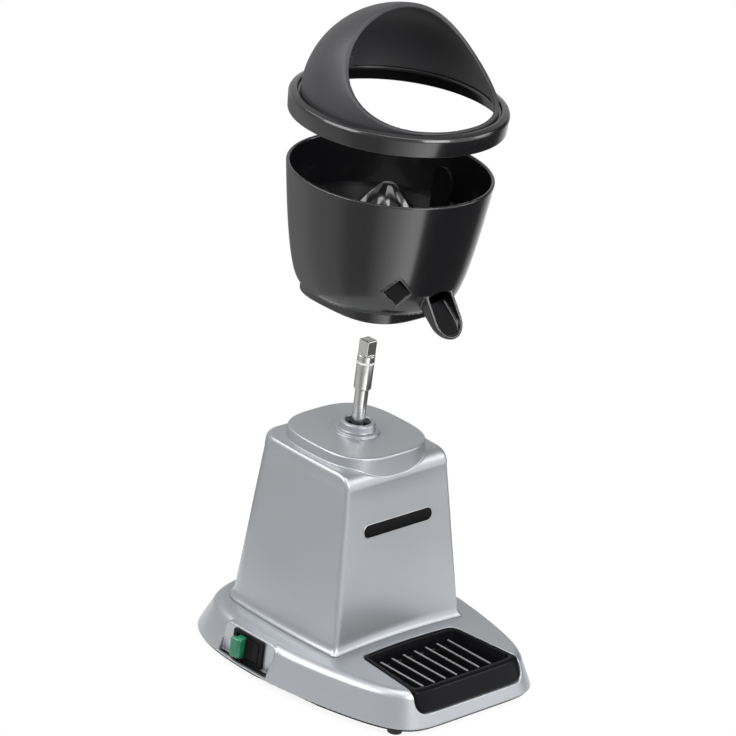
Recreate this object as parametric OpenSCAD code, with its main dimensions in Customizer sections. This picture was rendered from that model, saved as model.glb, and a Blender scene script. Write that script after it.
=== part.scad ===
// Electric citrus juicer: a direct drive motor in a tapered metal body on a low plinth,
// with a lift-off bowl, strainer and reamer, a splash hood and a drip tray.
// Millimetres, +Z up, the front faces -Y, the origin is the middle of the footprint.

/* [Plinth] */
// Width of the plinth at its foot
plinth_w = 190; // [185:1:196]
// Depth of the plinth at its foot
plinth_d = 220; // [216:1:226]
// Height of the plinth from its lower edge to its deck
plinth_h = 24; // [23:0.5:26]
// How far the plinth wall leans in from foot to deck
plinth_lean = 10; // [8:0.5:11]
// Share of its width that the plinth loses towards the front
plinth_taper = 0.28; // [0.22:0.01:0.3]
// Thickness of the plinth and body walls
wall = 3; // [2.5:0.1:3.5]
// Distance of the spindle behind the middle of the footprint
spindle_y = 34; // [32:0.5:34]
// Height of the rubber feet under the plinth
foot_h = 7; // [6:0.5:9]
// Radius of a rubber foot
foot_r = 6; // [5:0.5:7]

/* [Body] */
// Width of the body at its foot
body_w = 128; // [124:1:131]
// Width of the body at its top edge
body_top_w = 99; // [98:1:103]
// Distance from the spindle to the front of the body at its foot
body_front = 65.5; // [63:0.5:67]
// Distance from the spindle to the front of the body at its top
body_top_front = 45; // [44.5:0.5:47]
// Distance from the spindle to the back of the body at its foot
body_back = 54; // [52:0.5:56]
// Distance from the spindle to the back of the body at its top
body_top_back = 48.5; // [48.5:0.5:50]
// Height of the body from the deck to its shoulder
body_h = 124; // [119:1:131]
// Radius between the front of the body and its shoulder
front_fillet = 12; // [8:0.5:14]
// Radius of the front upright edges
front_edge_r = 3.5; // [2.5:0.5:6]
// Radius of the rear upright edges
rear_edge_r = 22; // [19:1:26]
// Width of the raised seat for the bowl
seat_w = 86; // [82:1:86]
// Height of the raised seat
seat_h = 8; // [6:0.5:10]
// Height of the spindle collar above the seat
collar_h = 8; // [6:0.5:10]
// Radius of the hole in the spindle collar
collar_bore_r = 9; // [8:0.5:10]

/* [Spindle and motor] */
// Diameter of the motor shaft
shaft_d = 9.5; // [8:0.5:10]
// Diameter of the drive sleeve
sleeve_d = 12.4; // [11.5:0.1:13]
// Length of the drive sleeve
sleeve_len = 26; // [22:1:30]
// Side of the square drive tang
tang_w = 9; // [8:0.1:9.4]
// Length of the square drive tang
tang_len = 11; // [9:0.5:13]
// Height of the spindle above the collar
spindle_reach = 61; // [56:1:66]
// Side of the square motor
motor_w = 78; // [74:1:80]
// Height of the stator stack
stack_h = 36; // [30:1:40]
// Height of one end bell of the motor
bell_h = 20; // [19:0.5:22]
// Radius of the rotor
rotor_r = 23.4; // [21:0.2:24]
// Air gap between the rotor and the stator
air_gap = 0.6; // [0.4:0.1:1]

/* [Switch] */
// Length of the switch bezel along the plinth
bezel_l = 30; // [28:0.5:32]
// Height of the switch bezel
bezel_h = 21; // [20:0.5:21.5]
// Distance of the switch in front of the spindle
switch_front = 6; // [3:0.5:9]
// Tilt of the rocker from level to either side
rocker_tilt = 8; // [5:0.5:10]

/* [Drip tray] */
// Width of the tray at its back edge
tray_back_w = 90; // [84:1:94]
// Width of the tray at the front of the plinth
tray_front_w = 105; // [100:1:108]
// Distance from the spindle to the back edge of the tray
tray_back = 73; // [72:0.5:76]
// Depth of the tray below the deck
tray_depth = 14.5; // [12:0.5:15]
// Number of ribs in the tray
rib_count = 7; // [5:1:8]
// Distance between two ribs
rib_pitch = 11; // [9:0.5:11.5]

/* [Bowl] */
// Radius of the bowl at its rim
bowl_r = 71.5; // [69:0.5:73]
// Radius of the bowl where it meets its skirt
bowl_foot_r = 53; // [51:0.5:56]
// Height of the bowl from the bottom of its skirt to its rim
bowl_h = 94; // [90:1:98]
// Height of the skirt that drops over the seat
skirt_h = 9.5; // [9:0.5:11]
// Thickness of the bowl wall
bowl_wall = 2.6; // [2.2:0.1:3]
// Width of the spout
spout_w = 26; // [22:1:30]
// Length of the spout down its slope
spout_len = 34; // [30:1:38]
// How far the bowl is held above its seat, as shown
bowl_raise = 109; // [95:1:120]

/* [Reamer and strainer] */
// Radius of the reamer at its foot
reamer_r = 34; // [30:0.5:37]
// Distance of the tip of the reamer below the rim of the bowl
reamer_drop = 10; // [8:0.5:12]
// Number of ridges on the reamer
ridge_count = 10; // [8:1:12]
// Height of the strainer rim above the bottom of the skirt
strainer_rim = 58; // [54:1:62]
// Depth of the strainer basket
strainer_depth = 21; // [18:1:24]
// Number of slots in the strainer
slot_count = 24; // [16:1:28]

/* [Splash hood] */
// Outer radius of the hood ring
ring_r = 75.5; // [75:0.5:78]
// Height of the hood ring skirt
ring_h = 12.5; // [10:0.5:15]
// Outer radius of the dome
dome_r = 67.5; // [66:0.5:68]
// Height of the dome above the ring
dome_h = 66; // [60:1:72]
// Thickness of the dome
dome_wall = 2.4; // [2:0.1:3]
// Radius of the round sweep that opens the front of the dome
scoop_r = 75; // [70:1:80]
// How far the hood is held above the bowl, as shown
hood_raise = 47; // [42:1:60]

/* [Clearances] */
// Clearance of pieces that lift off
lift_gap = 0.4; // [0.3:0.05:0.6]
// Clearance of the square tang in its socket, each side
tang_gap = 0.15; // [0.1:0.05:0.3]
// Radial clearance of the shaft in its bearings
run_gap = 0.05; // [0.03:0.01:0.08]

/* [Hidden] */
$fn = 96;

silver = [0.66, 0.67, 0.69];
black = [0.09, 0.09, 0.1];
dark_grey = [0.2, 0.2, 0.22];
steel = [0.74, 0.74, 0.76];
copper = [0.72, 0.4, 0.2];
lens_green = [0.1, 0.5, 0.3];
overlap = 0.5;
long_cut = 20;
vent_pitch = 8;

// Levels, from the standing surface up
deck_z = foot_h + plinth_h;
shoulder_z = deck_z + body_h;
seat_z = shoulder_z + seat_h;
collar_z = seat_z + collar_h;
spindle_top = collar_z + spindle_reach;
sleeve_top = spindle_top - tang_len;
bowl_z = shoulder_z + lift_gap + bowl_raise;
rim_z = bowl_z + bowl_h;
ring_z = rim_z + lift_gap + dome_wall + hood_raise;

// Motor levels
post_h = 10;
mount_h = 4;
bell_floor = 4;
bearing_w = 8;
bearing_r = 13;
motor_z = deck_z + post_h + mount_h;
stack_z = motor_z + bell_h;
upper_bell_z = stack_z + stack_h;
motor_top = upper_bell_z + bell_h;
motor_bore = motor_w / 2 - 3;
bolt_at = motor_w / 2 - 6;
bolt_r = 2.5;
mount_at = motor_w / 2 - 11;
mount_r = 6.5;

collar_flange = 7;

// Exact shapes that several pieces share
module at_spindle(z = 0) {
    translate([0, spindle_y, z]) children();
}

module ring(outer_r, inner_r, z0, z1) {
    translate([0, 0, z0]) linear_extrude(z1 - z0) difference() {
        circle(outer_r);
        circle(inner_r);
    }
}

module at_corners(x, y) {
    for (sx = [-1, 1], sy = [-1, 1]) translate([sx * x, sy * y, 0]) children();
}

module rounded_rect(w, d, r) {
    square([w, d - 2 * r], center = true);
    square([w - 2 * r, d], center = true);
    for (sx = [-1, 1], sy = [-1, 1]) translate([sx * (w / 2 - r), sy * (d / 2 - r)]) circle(r);
}

// A button head screw with its head under z = 0 and its shank pointing up
module screw_up(shank_r, shank_len, head_r, head_h) {
    translate([0, 0, -head_h]) cylinder(h = head_h, r1 = head_r * 0.8, r2 = head_r, $fn = 32);
    cylinder(h = shank_len, r = shank_r, $fn = 32);
}

// Lofted shells: rings of points joined by triangles
function mix(a, b, t) = a + (b - a) * t;
function raise(pts, z) = [for (p = pts) [p.x, p.y, z]];
function signed_pow(v, e) = sign(v) * pow(abs(v), e);
function band(n, j, k) = [
    for (i = [0:n - 1], half = [0, 1])
        let (a = j * n + i, b = j * n + (i + 1) % n, c = k * n + (i + 1) % n, d = k * n + i)
        half == 0 ? [a, c, b] : [a, d, c]
];
function flat(lists) = [for (l = lists, v = l) v];

module loft(rings) {
    n = len(rings[0]);
    m = len(rings);
    polyhedron(
        flat(rings),
        concat(
            [[for (i = [0:n - 1]) i]],
            flat([for (j = [0:m - 2]) band(n, j, j + 1)]),
            [[for (i = [n - 1:-1:0]) (m - 1) * n + i]]
        )
    );
}

// A cup with its mouth down: rings up the outside, then down the inside
module loft_shell(outer, inner) {
    n = len(outer[0]);
    a = len(outer);
    m = a + len(inner);
    polyhedron(
        flat(concat(outer, inner)),
        concat(
            flat([for (j = [0:a - 2]) band(n, j, j + 1)]),
            [[for (i = [n - 1:-1:0]) (a - 1) * n + i]],
            [[for (i = [0:n - 1]) a * n + i]],
            flat([for (j = [a:m - 2]) band(n, j, j + 1)]),
            band(n, m - 1, 0)
        )
    );
}

// Plinth: a drafted oblong that narrows to the front, on superellipse outlines
plinth_points = 96;
front_round = 7.5;
back_round = 3.4;
taper_power = 1.4;
deck_round = 5;
function plinth_outline(inset) = [
    for (i = [0:plinth_points - 1])
        let (
            a = 360 * (i + 0.5) / plinth_points,
            e = 2 / (sin(a) > 0 ? back_round : front_round),
            y = (plinth_d / 2 - inset) * signed_pow(sin(a), e),
            narrow = 1 - plinth_taper * pow(max(0, -y) / (plinth_d / 2), taper_power)
        )
        [(plinth_w / 2 * narrow - inset) * signed_pow(cos(a), e), y]
];
function plinth_ring(z, inset) = raise(plinth_outline(inset), z);
// Inset of the drafted wall at a height above the foot of the plinth
function lean_at(h) = plinth_lean * h / plinth_h;

function plinth_outside() = concat(
    [plinth_ring(foot_h, 0.8), plinth_ring(foot_h + 0.8, 0.3)],
    [
        for (t = [0:0.25:1])
            let (rise = deck_round * sin(90 * t), run = deck_round * (1 - cos(90 * t)))
            plinth_ring(deck_z - deck_round + rise, lean_at(plinth_h - deck_round + rise) + run)
    ]
);
function plinth_inside() = [
    plinth_ring(deck_z - wall, lean_at(plinth_h) + deck_round + wall),
    plinth_ring(deck_z - wall - deck_round, lean_at(plinth_h - deck_round) + wall),
    plinth_ring(foot_h, wall + 0.3)
];

// The tray fits the plinth's front wall, so both are cut from the same drafted form
function tray_half(y_front) =
    mix(tray_back_w / 2, tray_front_w / 2, (y_front - tray_back) / (front_reach - tray_back));
front_reach = plinth_d / 2 + spindle_y;
tray_corner_r = 6;
tray_z = deck_z - tray_depth;
module tray_plan(grow) {
    r = tray_corner_r + grow;
    back_y = -tray_back + grow - r;
    side = tray_half(tray_back) + grow - r;
    far_y = -front_reach - 10;
    far = tray_half(front_reach + 10) + grow;
    union() {
        for (s = [-1, 1]) translate([s * side, back_y]) circle(r);
        polygon([
            [-side, back_y + r], [side, back_y + r], [side + r, back_y],
            [far, far_y], [-far, far_y], [-side - r, back_y]
        ]);
    }
}

// Plan of the front opening: rounded lower corners where the tray front shows
module tray_block(grow, z0, z1) {
    at_spindle(z0) linear_extrude(z1 - z0) tray_plan(grow);
}

module plinth_form(z1, grow) {
    loft([plinth_ring(foot_h, -grow), plinth_ring(z1, lean_at(z1 - foot_h) - grow)]);
}

// Switch pad: an upright flat that stands out of the leaning wall
pad_x = plinth_w / 2 - 8;
pad_l = bezel_l + 20;
pad_top_r = 5;
pad_in = 16;
pad_sill = 1;
switch_y = spindle_y - switch_front;
switch_z = foot_h + 1.5 + bezel_h / 2;
switch_hole_l = bezel_l - 4;
switch_hole_h = bezel_h - 2.5;
bezel_t = 2;

module on_pad() {
    translate([-pad_x, switch_y, switch_z]) rotate([90, 0, -90]) children();
}

module switch_pad() {
    pad_h = deck_z - 0.5 - foot_h;
    translate([0, 0, -pad_in]) linear_extrude(pad_in) translate([0, foot_h + pad_h / 2 - switch_z]) {
        translate([0, -pad_top_r / 2]) square([pad_l, pad_h - pad_top_r], center = true);
        translate([0, pad_h / 2 - pad_top_r / 2]) square([pad_l - 2 * pad_top_r, pad_top_r], center = true);
        for (s = [-1, 1]) translate([s * (pad_l / 2 - pad_top_r), pad_h / 2 - pad_top_r]) circle(pad_top_r);
    }
}

// Places of the screws and feet, seen from above
foot_x = plinth_w * 0.34;
foot_front_x = plinth_w * 0.31;
foot_y = plinth_d / 2 - 19;
base_post_r = 5;
base_screw_r = 1.8;
base_hole = 12;
base_screw_y = plinth_d / 2 - 38;
plate_t = 2.5;
plate_lip = 1.5;
plate_top = foot_h + plate_t;
module at_feet() {
    for (s = [-1, 1]) {
        translate([s * foot_front_x, -foot_y, 0]) children();
        translate([s * foot_x * 0.8, foot_y, 0]) children();
    }
}
module at_base_screws() {
    at_corners(foot_x, base_screw_y - spindle_y / 2) children();
}

// Bosses in the corners of the body
boss_r = 6;
boss_len = 14;
body_screw_r = 2;
boss_x = body_w / 2 - wall - boss_r - 1.5;
boss_front = body_front - wall - boss_r - 3;
rear_boss = (rear_edge_r - wall - boss_r - 3) / sqrt(2);
module at_body_screws() {
    for (s = [-1, 1]) {
        translate([s * boss_x, -boss_front, 0]) children();
        translate([s * (body_w / 2 - rear_edge_r + rear_boss), body_back - rear_edge_r + rear_boss, 0])
            children();
    }
}

gland_z = foot_h + 10;
gland_r = 4.2;
gland_bore = 2.8;
gland_flange = 1.2;
gland_y = plinth_d / 2 - lean_at(gland_z - foot_h);
module on_rear_wall() {
    lean_angle = atan(plinth_lean / plinth_h);
    translate([0, gland_y, gland_z]) rotate([lean_angle - 90, 0, 0]) children();
}

module plinth() {
    color(silver) difference() {
        union() {
            loft_shell(plinth_outside(), plinth_inside());
            intersection() {
                tray_block(lift_gap + wall, tray_z - lift_gap - wall, deck_z - overlap);
                plinth_form(deck_z, -1);
            }
            on_pad() switch_pad();
            at_spindle(deck_z - overlap) for (a = [0:90:270]) rotate(a) translate([mount_at, 0, 0])
                cylinder(h = post_h + overlap, r = mount_r);
            at_base_screws() translate([0, 0, plate_top])
                cylinder(h = deck_z - wall - plate_top + overlap, r = base_post_r);
        }
        tray_block(lift_gap, tray_z - lift_gap, deck_z + 20);
        on_pad() {
            translate([0, 0, -pad_in - 10]) linear_extrude(pad_in + 20)
                square([switch_hole_l, switch_hole_h], center = true);
            linear_extrude(long_cut) translate([-pad_l / 2, foot_h + pad_sill - switch_z])
                square([pad_l, plinth_h]);
        }
        at_spindle(deck_z - 2 * wall) {
            cylinder(h = 3 * wall, r = mount_at - mount_r - 2);
            at_body_screws() cylinder(h = 3 * wall, r = body_screw_r + 0.3);
        }
        at_base_screws() translate([0, 0, plate_top - 1]) cylinder(h = base_hole, r = base_screw_r);
        on_rear_wall() cylinder(h = 4 * wall, r = gland_r, center = true);
    }
}

// Body: a tapered block with crisp front edges, round rear ones and a hollowed front
arc_steps = 7;
side_steps = 6;
front_steps = 14;
body_bow = 2;
front_hollow = 3;
top_hollow = 0.5;
flare = 2;
flare_h = 4;
function corner(cx, cy, r, a0) = [
    for (i = [0:arc_steps]) let (a = a0 + 90 * i / arc_steps) [cx + r * cos(a), cy + r * sin(a)]
];
function side(p, q, bow, steps) = [
    for (i = [1:steps - 1])
        let (t = i / steps, d = q - p)
        p + d * t + [d.y, -d.x] / norm(d) * bow * 4 * t * (1 - t)
];
function body_outline(half, front, back, rf, rb, bow, hollow) =
    let (
        a = corner(half - rf, -front + rf, rf, -90),
        b = corner(half - rb, back - rb, rb, 0),
        c = corner(-half + rb, back - rb, rb, 90),
        d = corner(-half + rf, -front + rf, rf, 180),
        last = arc_steps
    )
    concat(
        a, side(a[last], b[0], bow, side_steps), b, side(b[last], c[0], 0, side_steps),
        c, side(c[last], d[0], bow, side_steps), d, side(d[last], a[0], -hollow, front_steps)
    );
// Outline at share t of the height, drawn in by side_in at the sides and front_in at the front
function body_ring(t, z, side_in, front_in) =
    raise(
        body_outline(
            mix(body_w, body_top_w, t) / 2 - side_in,
            mix(body_front, body_top_front, t) - front_in,
            mix(body_back, body_top_back, t) - side_in,
            front_edge_r,
            mix(rear_edge_r, rear_edge_r - 5, t) - side_in / 2,
            mix(body_bow, 1, t),
            mix(front_hollow, top_hollow, t)
        ),
        z
    );
straight_h = body_h - front_fillet;
shoulder_in = 4;
fillet_steps = 5;

// Seat for the bowl: a bulging rounded square, here as its reach in direction a
seat_round = 3;
seat_draft = 0.4;
seat_edge = 1.6;
seat_ledge = 0.5;
function seat_reach(half, a) =
    half / pow(pow(abs(cos(a)), seat_round) + pow(abs(sin(a)), seat_round), 1 / seat_round);

// The shoulder rounds over from the upright walls; at share t of the way round
function shoulder_ring(t) =
    body_ring(
        1,
        deck_z + straight_h + front_fillet * sin(90 * t),
        shoulder_in * pow(1 - cos(90 * t), 2),
        front_fillet * (1 - cos(90 * t))
    );
// Share of the round-over that a point of the front runs before it meets the seat wall
function round_share(x, y) =
    let (
        half = seat_w / 2 + seat_draft + seat_ledge,
        meet = pow(pow(half, seat_round) - pow(min(abs(x), half), seat_round), 1 / seat_round),
        left = 1 - (body_top_front - top_hollow - meet) / front_fillet
    )
    y > 0 || left <= 0 ? 1 : acos(min(left, 0.99)) / 90;
shoulder_share = [for (p = shoulder_ring(1)) round_share(p.x, p.y)];
function shoulder_at(k) = [
    for (i = [0:len(shoulder_share) - 1]) shoulder_ring(shoulder_share[i] * k / fillet_steps)[i]
];
shoulder_end = shoulder_at(fillet_steps);
// A ring of the seat wall, in line with the points of the shoulder
function seat_wall_ring(half, z) = [
    for (p = shoulder_end)
        let (a = atan2(p.y, p.x), r = seat_reach(half, a))
        [r * cos(a), r * sin(a), is_undef(z) ? p.z + seat_ledge : z]
];
function body_outside() = concat(
    [
        body_ring(0, deck_z, 0, 0),
        body_ring(0, deck_z + 1, 0, 0),
        body_ring(flare_h / straight_h, deck_z + flare_h, flare * 0.8, flare * 0.8),
        body_ring(2 * flare_h / straight_h, deck_z + 2 * flare_h, flare, flare)
    ],
    [for (k = [0:fillet_steps]) shoulder_at(k)],
    [
        seat_wall_ring(seat_w / 2 + seat_draft),
        seat_wall_ring(seat_w / 2, seat_z - seat_edge),
        seat_wall_ring(seat_w / 2 - seat_edge * 0.3, seat_z - seat_edge * 0.3),
        seat_wall_ring(seat_w / 2 - seat_edge, seat_z)
    ]
);
function body_inside() = [
    body_ring(1, shoulder_z - wall, wall + shoulder_in, wall + front_fillet * 0.7),
    body_ring(1, deck_z + straight_h, wall, wall),
    body_ring(2 * flare_h / straight_h, deck_z + 2 * flare_h, wall + flare, wall + flare),
    body_ring(0, deck_z, wall, wall)
];

// Outline of the seat for the skirt that drops over it
seat_points = 72;
function seat_ring(half, z) = [
    for (i = [0:seat_points - 1])
        let (a = 360 * (i + 0.5) / seat_points, r = seat_reach(half, a))
        [r * cos(a), r * sin(a), z]
];

module body_shell() {
    color(silver) at_spindle() difference() {
        union() {
            loft_shell(body_outside(), body_inside());
            translate([0, 0, shoulder_z - wall - overlap]) rotate_extrude() polygon([
                [0, 0],
                [collar_bore_r + collar_flange, 0],
                [collar_bore_r + collar_flange, wall + overlap + seat_h + 1.5],
                [collar_bore_r + 4, wall + overlap + seat_h + 2.5],
                [collar_bore_r + 3.2, wall + overlap + seat_h + collar_h - 1],
                [collar_bore_r + 2.2, wall + overlap + seat_h + collar_h],
                [0, wall + overlap + seat_h + collar_h]
            ]);
            at_body_screws() translate([0, 0, deck_z]) cylinder(h = boss_len, r = boss_r);
        }
        translate([0, 0, shoulder_z - 2 * wall])
            cylinder(h = seat_h + collar_h + 3 * wall, r = collar_bore_r);
        at_body_screws() translate([0, 0, deck_z - 1]) cylinder(h = boss_len - 2, r = body_screw_r);
    }
}

module base_plate() {
    color(black) difference() {
        union() {
            loft([plinth_ring(foot_h - plate_lip, 1.5), plinth_ring(foot_h, 1.5)]);
            loft([plinth_ring(foot_h - overlap, wall + 1.6), plinth_ring(plate_top, wall + 1.6)]);
        }
        at_feet() cylinder(h = plate_top + 1, r = foot_r * 0.5);
        at_base_screws() cylinder(h = plate_top + 1, r = base_screw_r + 0.3);
        on_pad() translate([0, foot_h + long_cut / 2 - switch_z, 2 * bezel_t - pad_in])
            cube([pad_l + 1, long_cut, 2 * pad_in + 1], center = true);
        at_spindle() for (i = [-4:4]) translate([0, i * vent_pitch, foot_h])
            linear_extrude(long_cut, center = true) {
            square([44, 3], center = true);
            for (s = [-1, 1]) translate([s * 22, 0]) circle(1.5);
        }
    }
}

module rubber_feet() {
    stem = plate_lip + plate_t;
    color(black) at_feet() rotate_extrude() polygon([
        [0, 0], [foot_r - 1.2, 0], [foot_r - 0.6, 0.6], [foot_r, foot_h - plate_lip],
        [foot_r * 0.5, foot_h - plate_lip], [foot_r * 0.5, foot_h - plate_lip + stem + 0.1],
        [foot_r * 0.75, foot_h - plate_lip + stem + 0.1], [foot_r * 0.4, foot_h - plate_lip + stem + 2],
        [0, foot_h - plate_lip + stem + 2]
    ]);
}

module base_screws() {
    color(steel) at_base_screws() translate([0, 0, foot_h - plate_lip])
        screw_up(base_screw_r, plate_lip + plate_t + 7, 3.6, 2);
}

module body_screws() {
    color(steel) at_spindle(deck_z - wall) at_body_screws() screw_up(body_screw_r, wall + 9, 4, 2.2);
}

module spindle_seal() {
    color(black) at_spindle() rotate_extrude() polygon([
        [shaft_d / 2 + lift_gap, seat_z + 1],
        [collar_bore_r, seat_z - 4],
        [collar_bore_r, collar_z - 4],
        [collar_bore_r - 2, collar_z - 4],
        [collar_bore_r - 2.5, seat_z + 1.5],
        [shaft_d / 2 + lift_gap, seat_z + 2]
    ]);
}

// Switch: bezel, case and blades, with a rocker on an upright pivot
case_deep = 17;
neck = 8;
neck_t = 1.1;
neck_gap = 0.2;
pivot_in = 7;
rocker_r = switch_hole_l / 2 - bezel_t;
rocker_h = switch_hole_h - 2 * (neck_gap + neck_t + lift_gap);
module switch_neck() {
    square([switch_hole_l - 2 * neck_gap, switch_hole_h - 2 * neck_gap], center = true);
}

module switch_bezel() {
    color(black) on_pad() difference() {
        union() {
            linear_extrude(bezel_t) rounded_rect(bezel_l, bezel_h, 2);
            translate([0, 0, -neck]) linear_extrude(neck + overlap) switch_neck();
        }
        translate([0, 0, -10]) linear_extrude(20)
            square([2 * rocker_r + 2 * lift_gap, rocker_h + 2 * lift_gap], center = true);
    }
}

module switch_case() {
    color(black) on_pad() translate([0, 0, -neck - case_deep]) difference() {
        linear_extrude(case_deep) switch_neck();
        translate([0, 0, case_deep - 7]) linear_extrude(10)
            square([2 * rocker_r + 2 * lift_gap, rocker_h + 2 * lift_gap], center = true);
    }
}

module switch_terminals() {
    color(copper) on_pad() translate([0, 0, -neck - case_deep - 8]) for (i = [-1:1])
        translate([i * 7, 0, 0]) linear_extrude(8) square([0.8, 6.3], center = true);
}

// One part of the rocker around its pivot, whose ends swing clear of the bezel
rocker_end = rocker_r - 1.6;
rocker_swing = rocker_r + 4;
rocker_foot = 3;
face_rise = 0.08;
lens_edge = 1;
lens_proud = 2.8;
module rocker_part(from, to, proud) {
    face = pivot_in + bezel_t + lift_gap + proud;
    linear_extrude(rocker_h) intersection() {
        circle(rocker_swing);
        polygon([
            [from, -rocker_foot],
            [to, -rocker_foot],
            [to, face + face_rise * abs(to)],
            [from, face + face_rise * abs(from)]
        ]);
    }
}

module on_pivot() {
    on_pad() translate([0, 0, -pivot_in]) rotate([0, rocker_tilt, 0]) rotate([90, 0, 0])
        translate([0, 0, -rocker_h / 2]) children();
}

module rocker() {
    groove_r = 0.5;
    groove_pitch = 2;
    groove_z = pivot_in + bezel_t + lift_gap + groove_r;
    color(black) on_pivot() difference() {
        rocker_part(lens_edge, rocker_end, 0);
        for (i = [1:3]) translate([lens_edge + groove_pitch * i, groove_z, -1])
            cylinder(h = rocker_h + 2, r = groove_r, $fn = 24);
    }
}

module rocker_lens() {
    color(lens_green) on_pivot() rocker_part(-rocker_end, lens_edge, lens_proud);
}

module cord_gland() {
    color(black) on_rear_wall() rotate_extrude() polygon([
        [gland_bore, -wall - 4],
        [gland_r + 0.2, -wall - 4],
        [gland_r + gland_flange, -wall - 1.2],
        [gland_r - 0.1, -wall - 1.2],
        [gland_r - 0.1, 0.3],
        [gland_r + gland_flange, 0.3],
        [gland_r + gland_flange - 0.5, 1.5],
        [gland_bore, 1.5]
    ]);
}

// Motor: a square induction motor on rubber mounts
slot_n = 12;
slot_at = rotor_r + air_gap + 6;
slot_r = 3;
module motor_square(h) {
    linear_extrude(h) rounded_rect(motor_w, motor_w, 9);
}

module stator_core() {
    color(steel) at_spindle(stack_z) difference() {
        motor_square(stack_h);
        translate([0, 0, -1]) {
            cylinder(h = stack_h + 2, r = rotor_r + air_gap);
            for (i = [0:slot_n - 1]) rotate(i * 360 / slot_n) {
                translate([slot_at, 0, 0]) cylinder(h = stack_h + 2, r = slot_r, $fn = 32);
                translate([rotor_r, -0.8, 0]) cube([slot_at - rotor_r, 1.6, stack_h + 2]);
            }
            at_corners(bolt_at, bolt_at) cylinder(h = stack_h + 2, r = bolt_r + 0.2, $fn = 32);
        }
    }
}

module stator_windings() {
    end_h = 8;
    half = slot_r + 1;
    color(copper) at_spindle() {
        for (z = [stack_z - end_h, stack_z + stack_h]) translate([0, 0, z]) rotate_extrude() polygon([
            [slot_at - half, 0.3],
            [slot_at + half, 0.3],
            [slot_at + half, end_h - 1.5],
            [slot_at + half - 1.5, end_h - 0.3],
            [slot_at - half + 1.5, end_h - 0.3],
            [slot_at - half, end_h - 1.5]
        ]);
        for (i = [0:slot_n - 1]) rotate(i * 360 / slot_n) translate([slot_at, 0, stack_z - 2])
            cylinder(h = stack_h + 4, r = slot_r - 0.3, $fn = 32);
    }
}

// One end bell, open side up, with a bearing seat and four air slots
module end_bell() {
    hub_r = bearing_r + 3;
    difference() {
        motor_square(bell_h);
        translate([0, 0, bell_floor]) difference() {
            cylinder(h = bell_h, r = motor_bore);
            cylinder(h = bearing_w, r = hub_r);
        }
        translate([0, 0, bell_floor]) cylinder(h = bell_h, r = bearing_r);
        translate([0, 0, -1]) cylinder(h = bell_h, r = shaft_d / 2 + 1.5);
        for (a = [0:90:270]) rotate(a) translate([motor_w / 2, 0, bell_floor + 7])
            cube([24, 22, 9], center = true);
        translate([0, 0, -1]) at_corners(bolt_at, bolt_at)
            cylinder(h = bell_h + 2, r = bolt_r + 0.2, $fn = 32);
    }
}

module lower_end_bell() {
    color(silver) at_spindle(motor_z) end_bell();
}

module upper_end_bell() {
    color(silver) at_spindle(motor_top) mirror([0, 0, 1]) end_bell();
}

module ball_bearing(z) {
    groove = 0.8;
    groove_in = bearing_r - 4.5;
    groove_out = bearing_r - 2.8;
    at_spindle(z) rotate_extrude() polygon([
        [shaft_d / 2 + run_gap, 0],
        [groove_in, 0],
        [groove_in, groove],
        [groove_out, groove],
        [groove_out, 0],
        [bearing_r, 0],
        [bearing_r, bearing_w],
        [groove_out, bearing_w],
        [groove_out, bearing_w - groove],
        [groove_in, bearing_w - groove],
        [groove_in, bearing_w],
        [shaft_d / 2 + run_gap, bearing_w]
    ]);
}

module lower_bearing() {
    color(steel) ball_bearing(motor_z + bell_floor);
}

module upper_bearing() {
    color(steel) ball_bearing(motor_top - bell_floor - bearing_w);
}

module through_bolts() {
    color(steel) at_spindle(motor_z) at_corners(bolt_at, bolt_at) {
        screw_up(bolt_r, 2 * bell_h + stack_h + 5, 4.2, 3);
        translate([0, 0, 2 * bell_h + stack_h]) cylinder(h = 4, r = 4.4, $fn = 6);
    }
}

module motor_mounts() {
    color(black) at_spindle(deck_z + post_h) for (a = [0:90:270]) rotate(a) translate([mount_at, 0, 0])
        rotate_extrude() polygon([
            [0, 0], [mount_r, 0], [mount_r - 0.8, mount_h / 2], [mount_r, mount_h], [0, mount_h]
        ]);
}

// Parts under the deck
cap_l = 46;
cap_w = 26;
clip_ear = 8;
clip_w = 10;
under_gap = 1.5;
under_deck = plinth_lean + deck_round + wall;
cap_x = plinth_w / 2 - under_deck - cap_w / 2 - clip_ear - under_gap;
cap_y = spindle_y - 14;
cap_top = deck_z - wall - 1;
cap_h = 15;
module run_capacitor() {
    color(dark_grey) translate([cap_x, cap_y, cap_top - cap_h]) linear_extrude(cap_h)
        rounded_rect(cap_w, cap_l, 3);
}

module capacitor_clip() {
    clip_t = 1;
    color(steel) translate([cap_x, cap_y, 0]) rotate([90, 0, 0]) linear_extrude(clip_w, center = true) {
        difference() {
            translate([-cap_w / 2 - clip_t, cap_top - cap_h - clip_t])
                square([cap_w + 2 * clip_t, cap_h + 2 * clip_t]);
            translate([-cap_w / 2, cap_top - cap_h]) square([cap_w, cap_h + 2 * clip_t]);
        }
        for (s = [-1, 1]) translate([s * (cap_w + clip_ear) / 2, cap_top + clip_t / 2])
            square([clip_ear, clip_t], center = true);
    }
}

module terminal_block() {
    block_l = 30;
    block_d = 14;
    block_in = 5 * under_gap;
    block_y = plinth_d / 2 - under_deck - block_d / 2 - block_in;
    color(dark_grey) translate([0, block_y, deck_z - wall]) difference() {
        translate([-block_l / 2, -block_d / 2, -12]) cube([block_l, block_d, 12]);
        for (i = [-1:1]) translate([i * 9, 0, -13]) cylinder(h = 6, r = 2.6, $fn = 32);
        for (i = [-1:1]) translate([i * 9, 0, -5]) rotate([90, 0, 0])
            cylinder(h = 20, r = 1.8, center = true, $fn = 32);
    }
}

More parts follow.
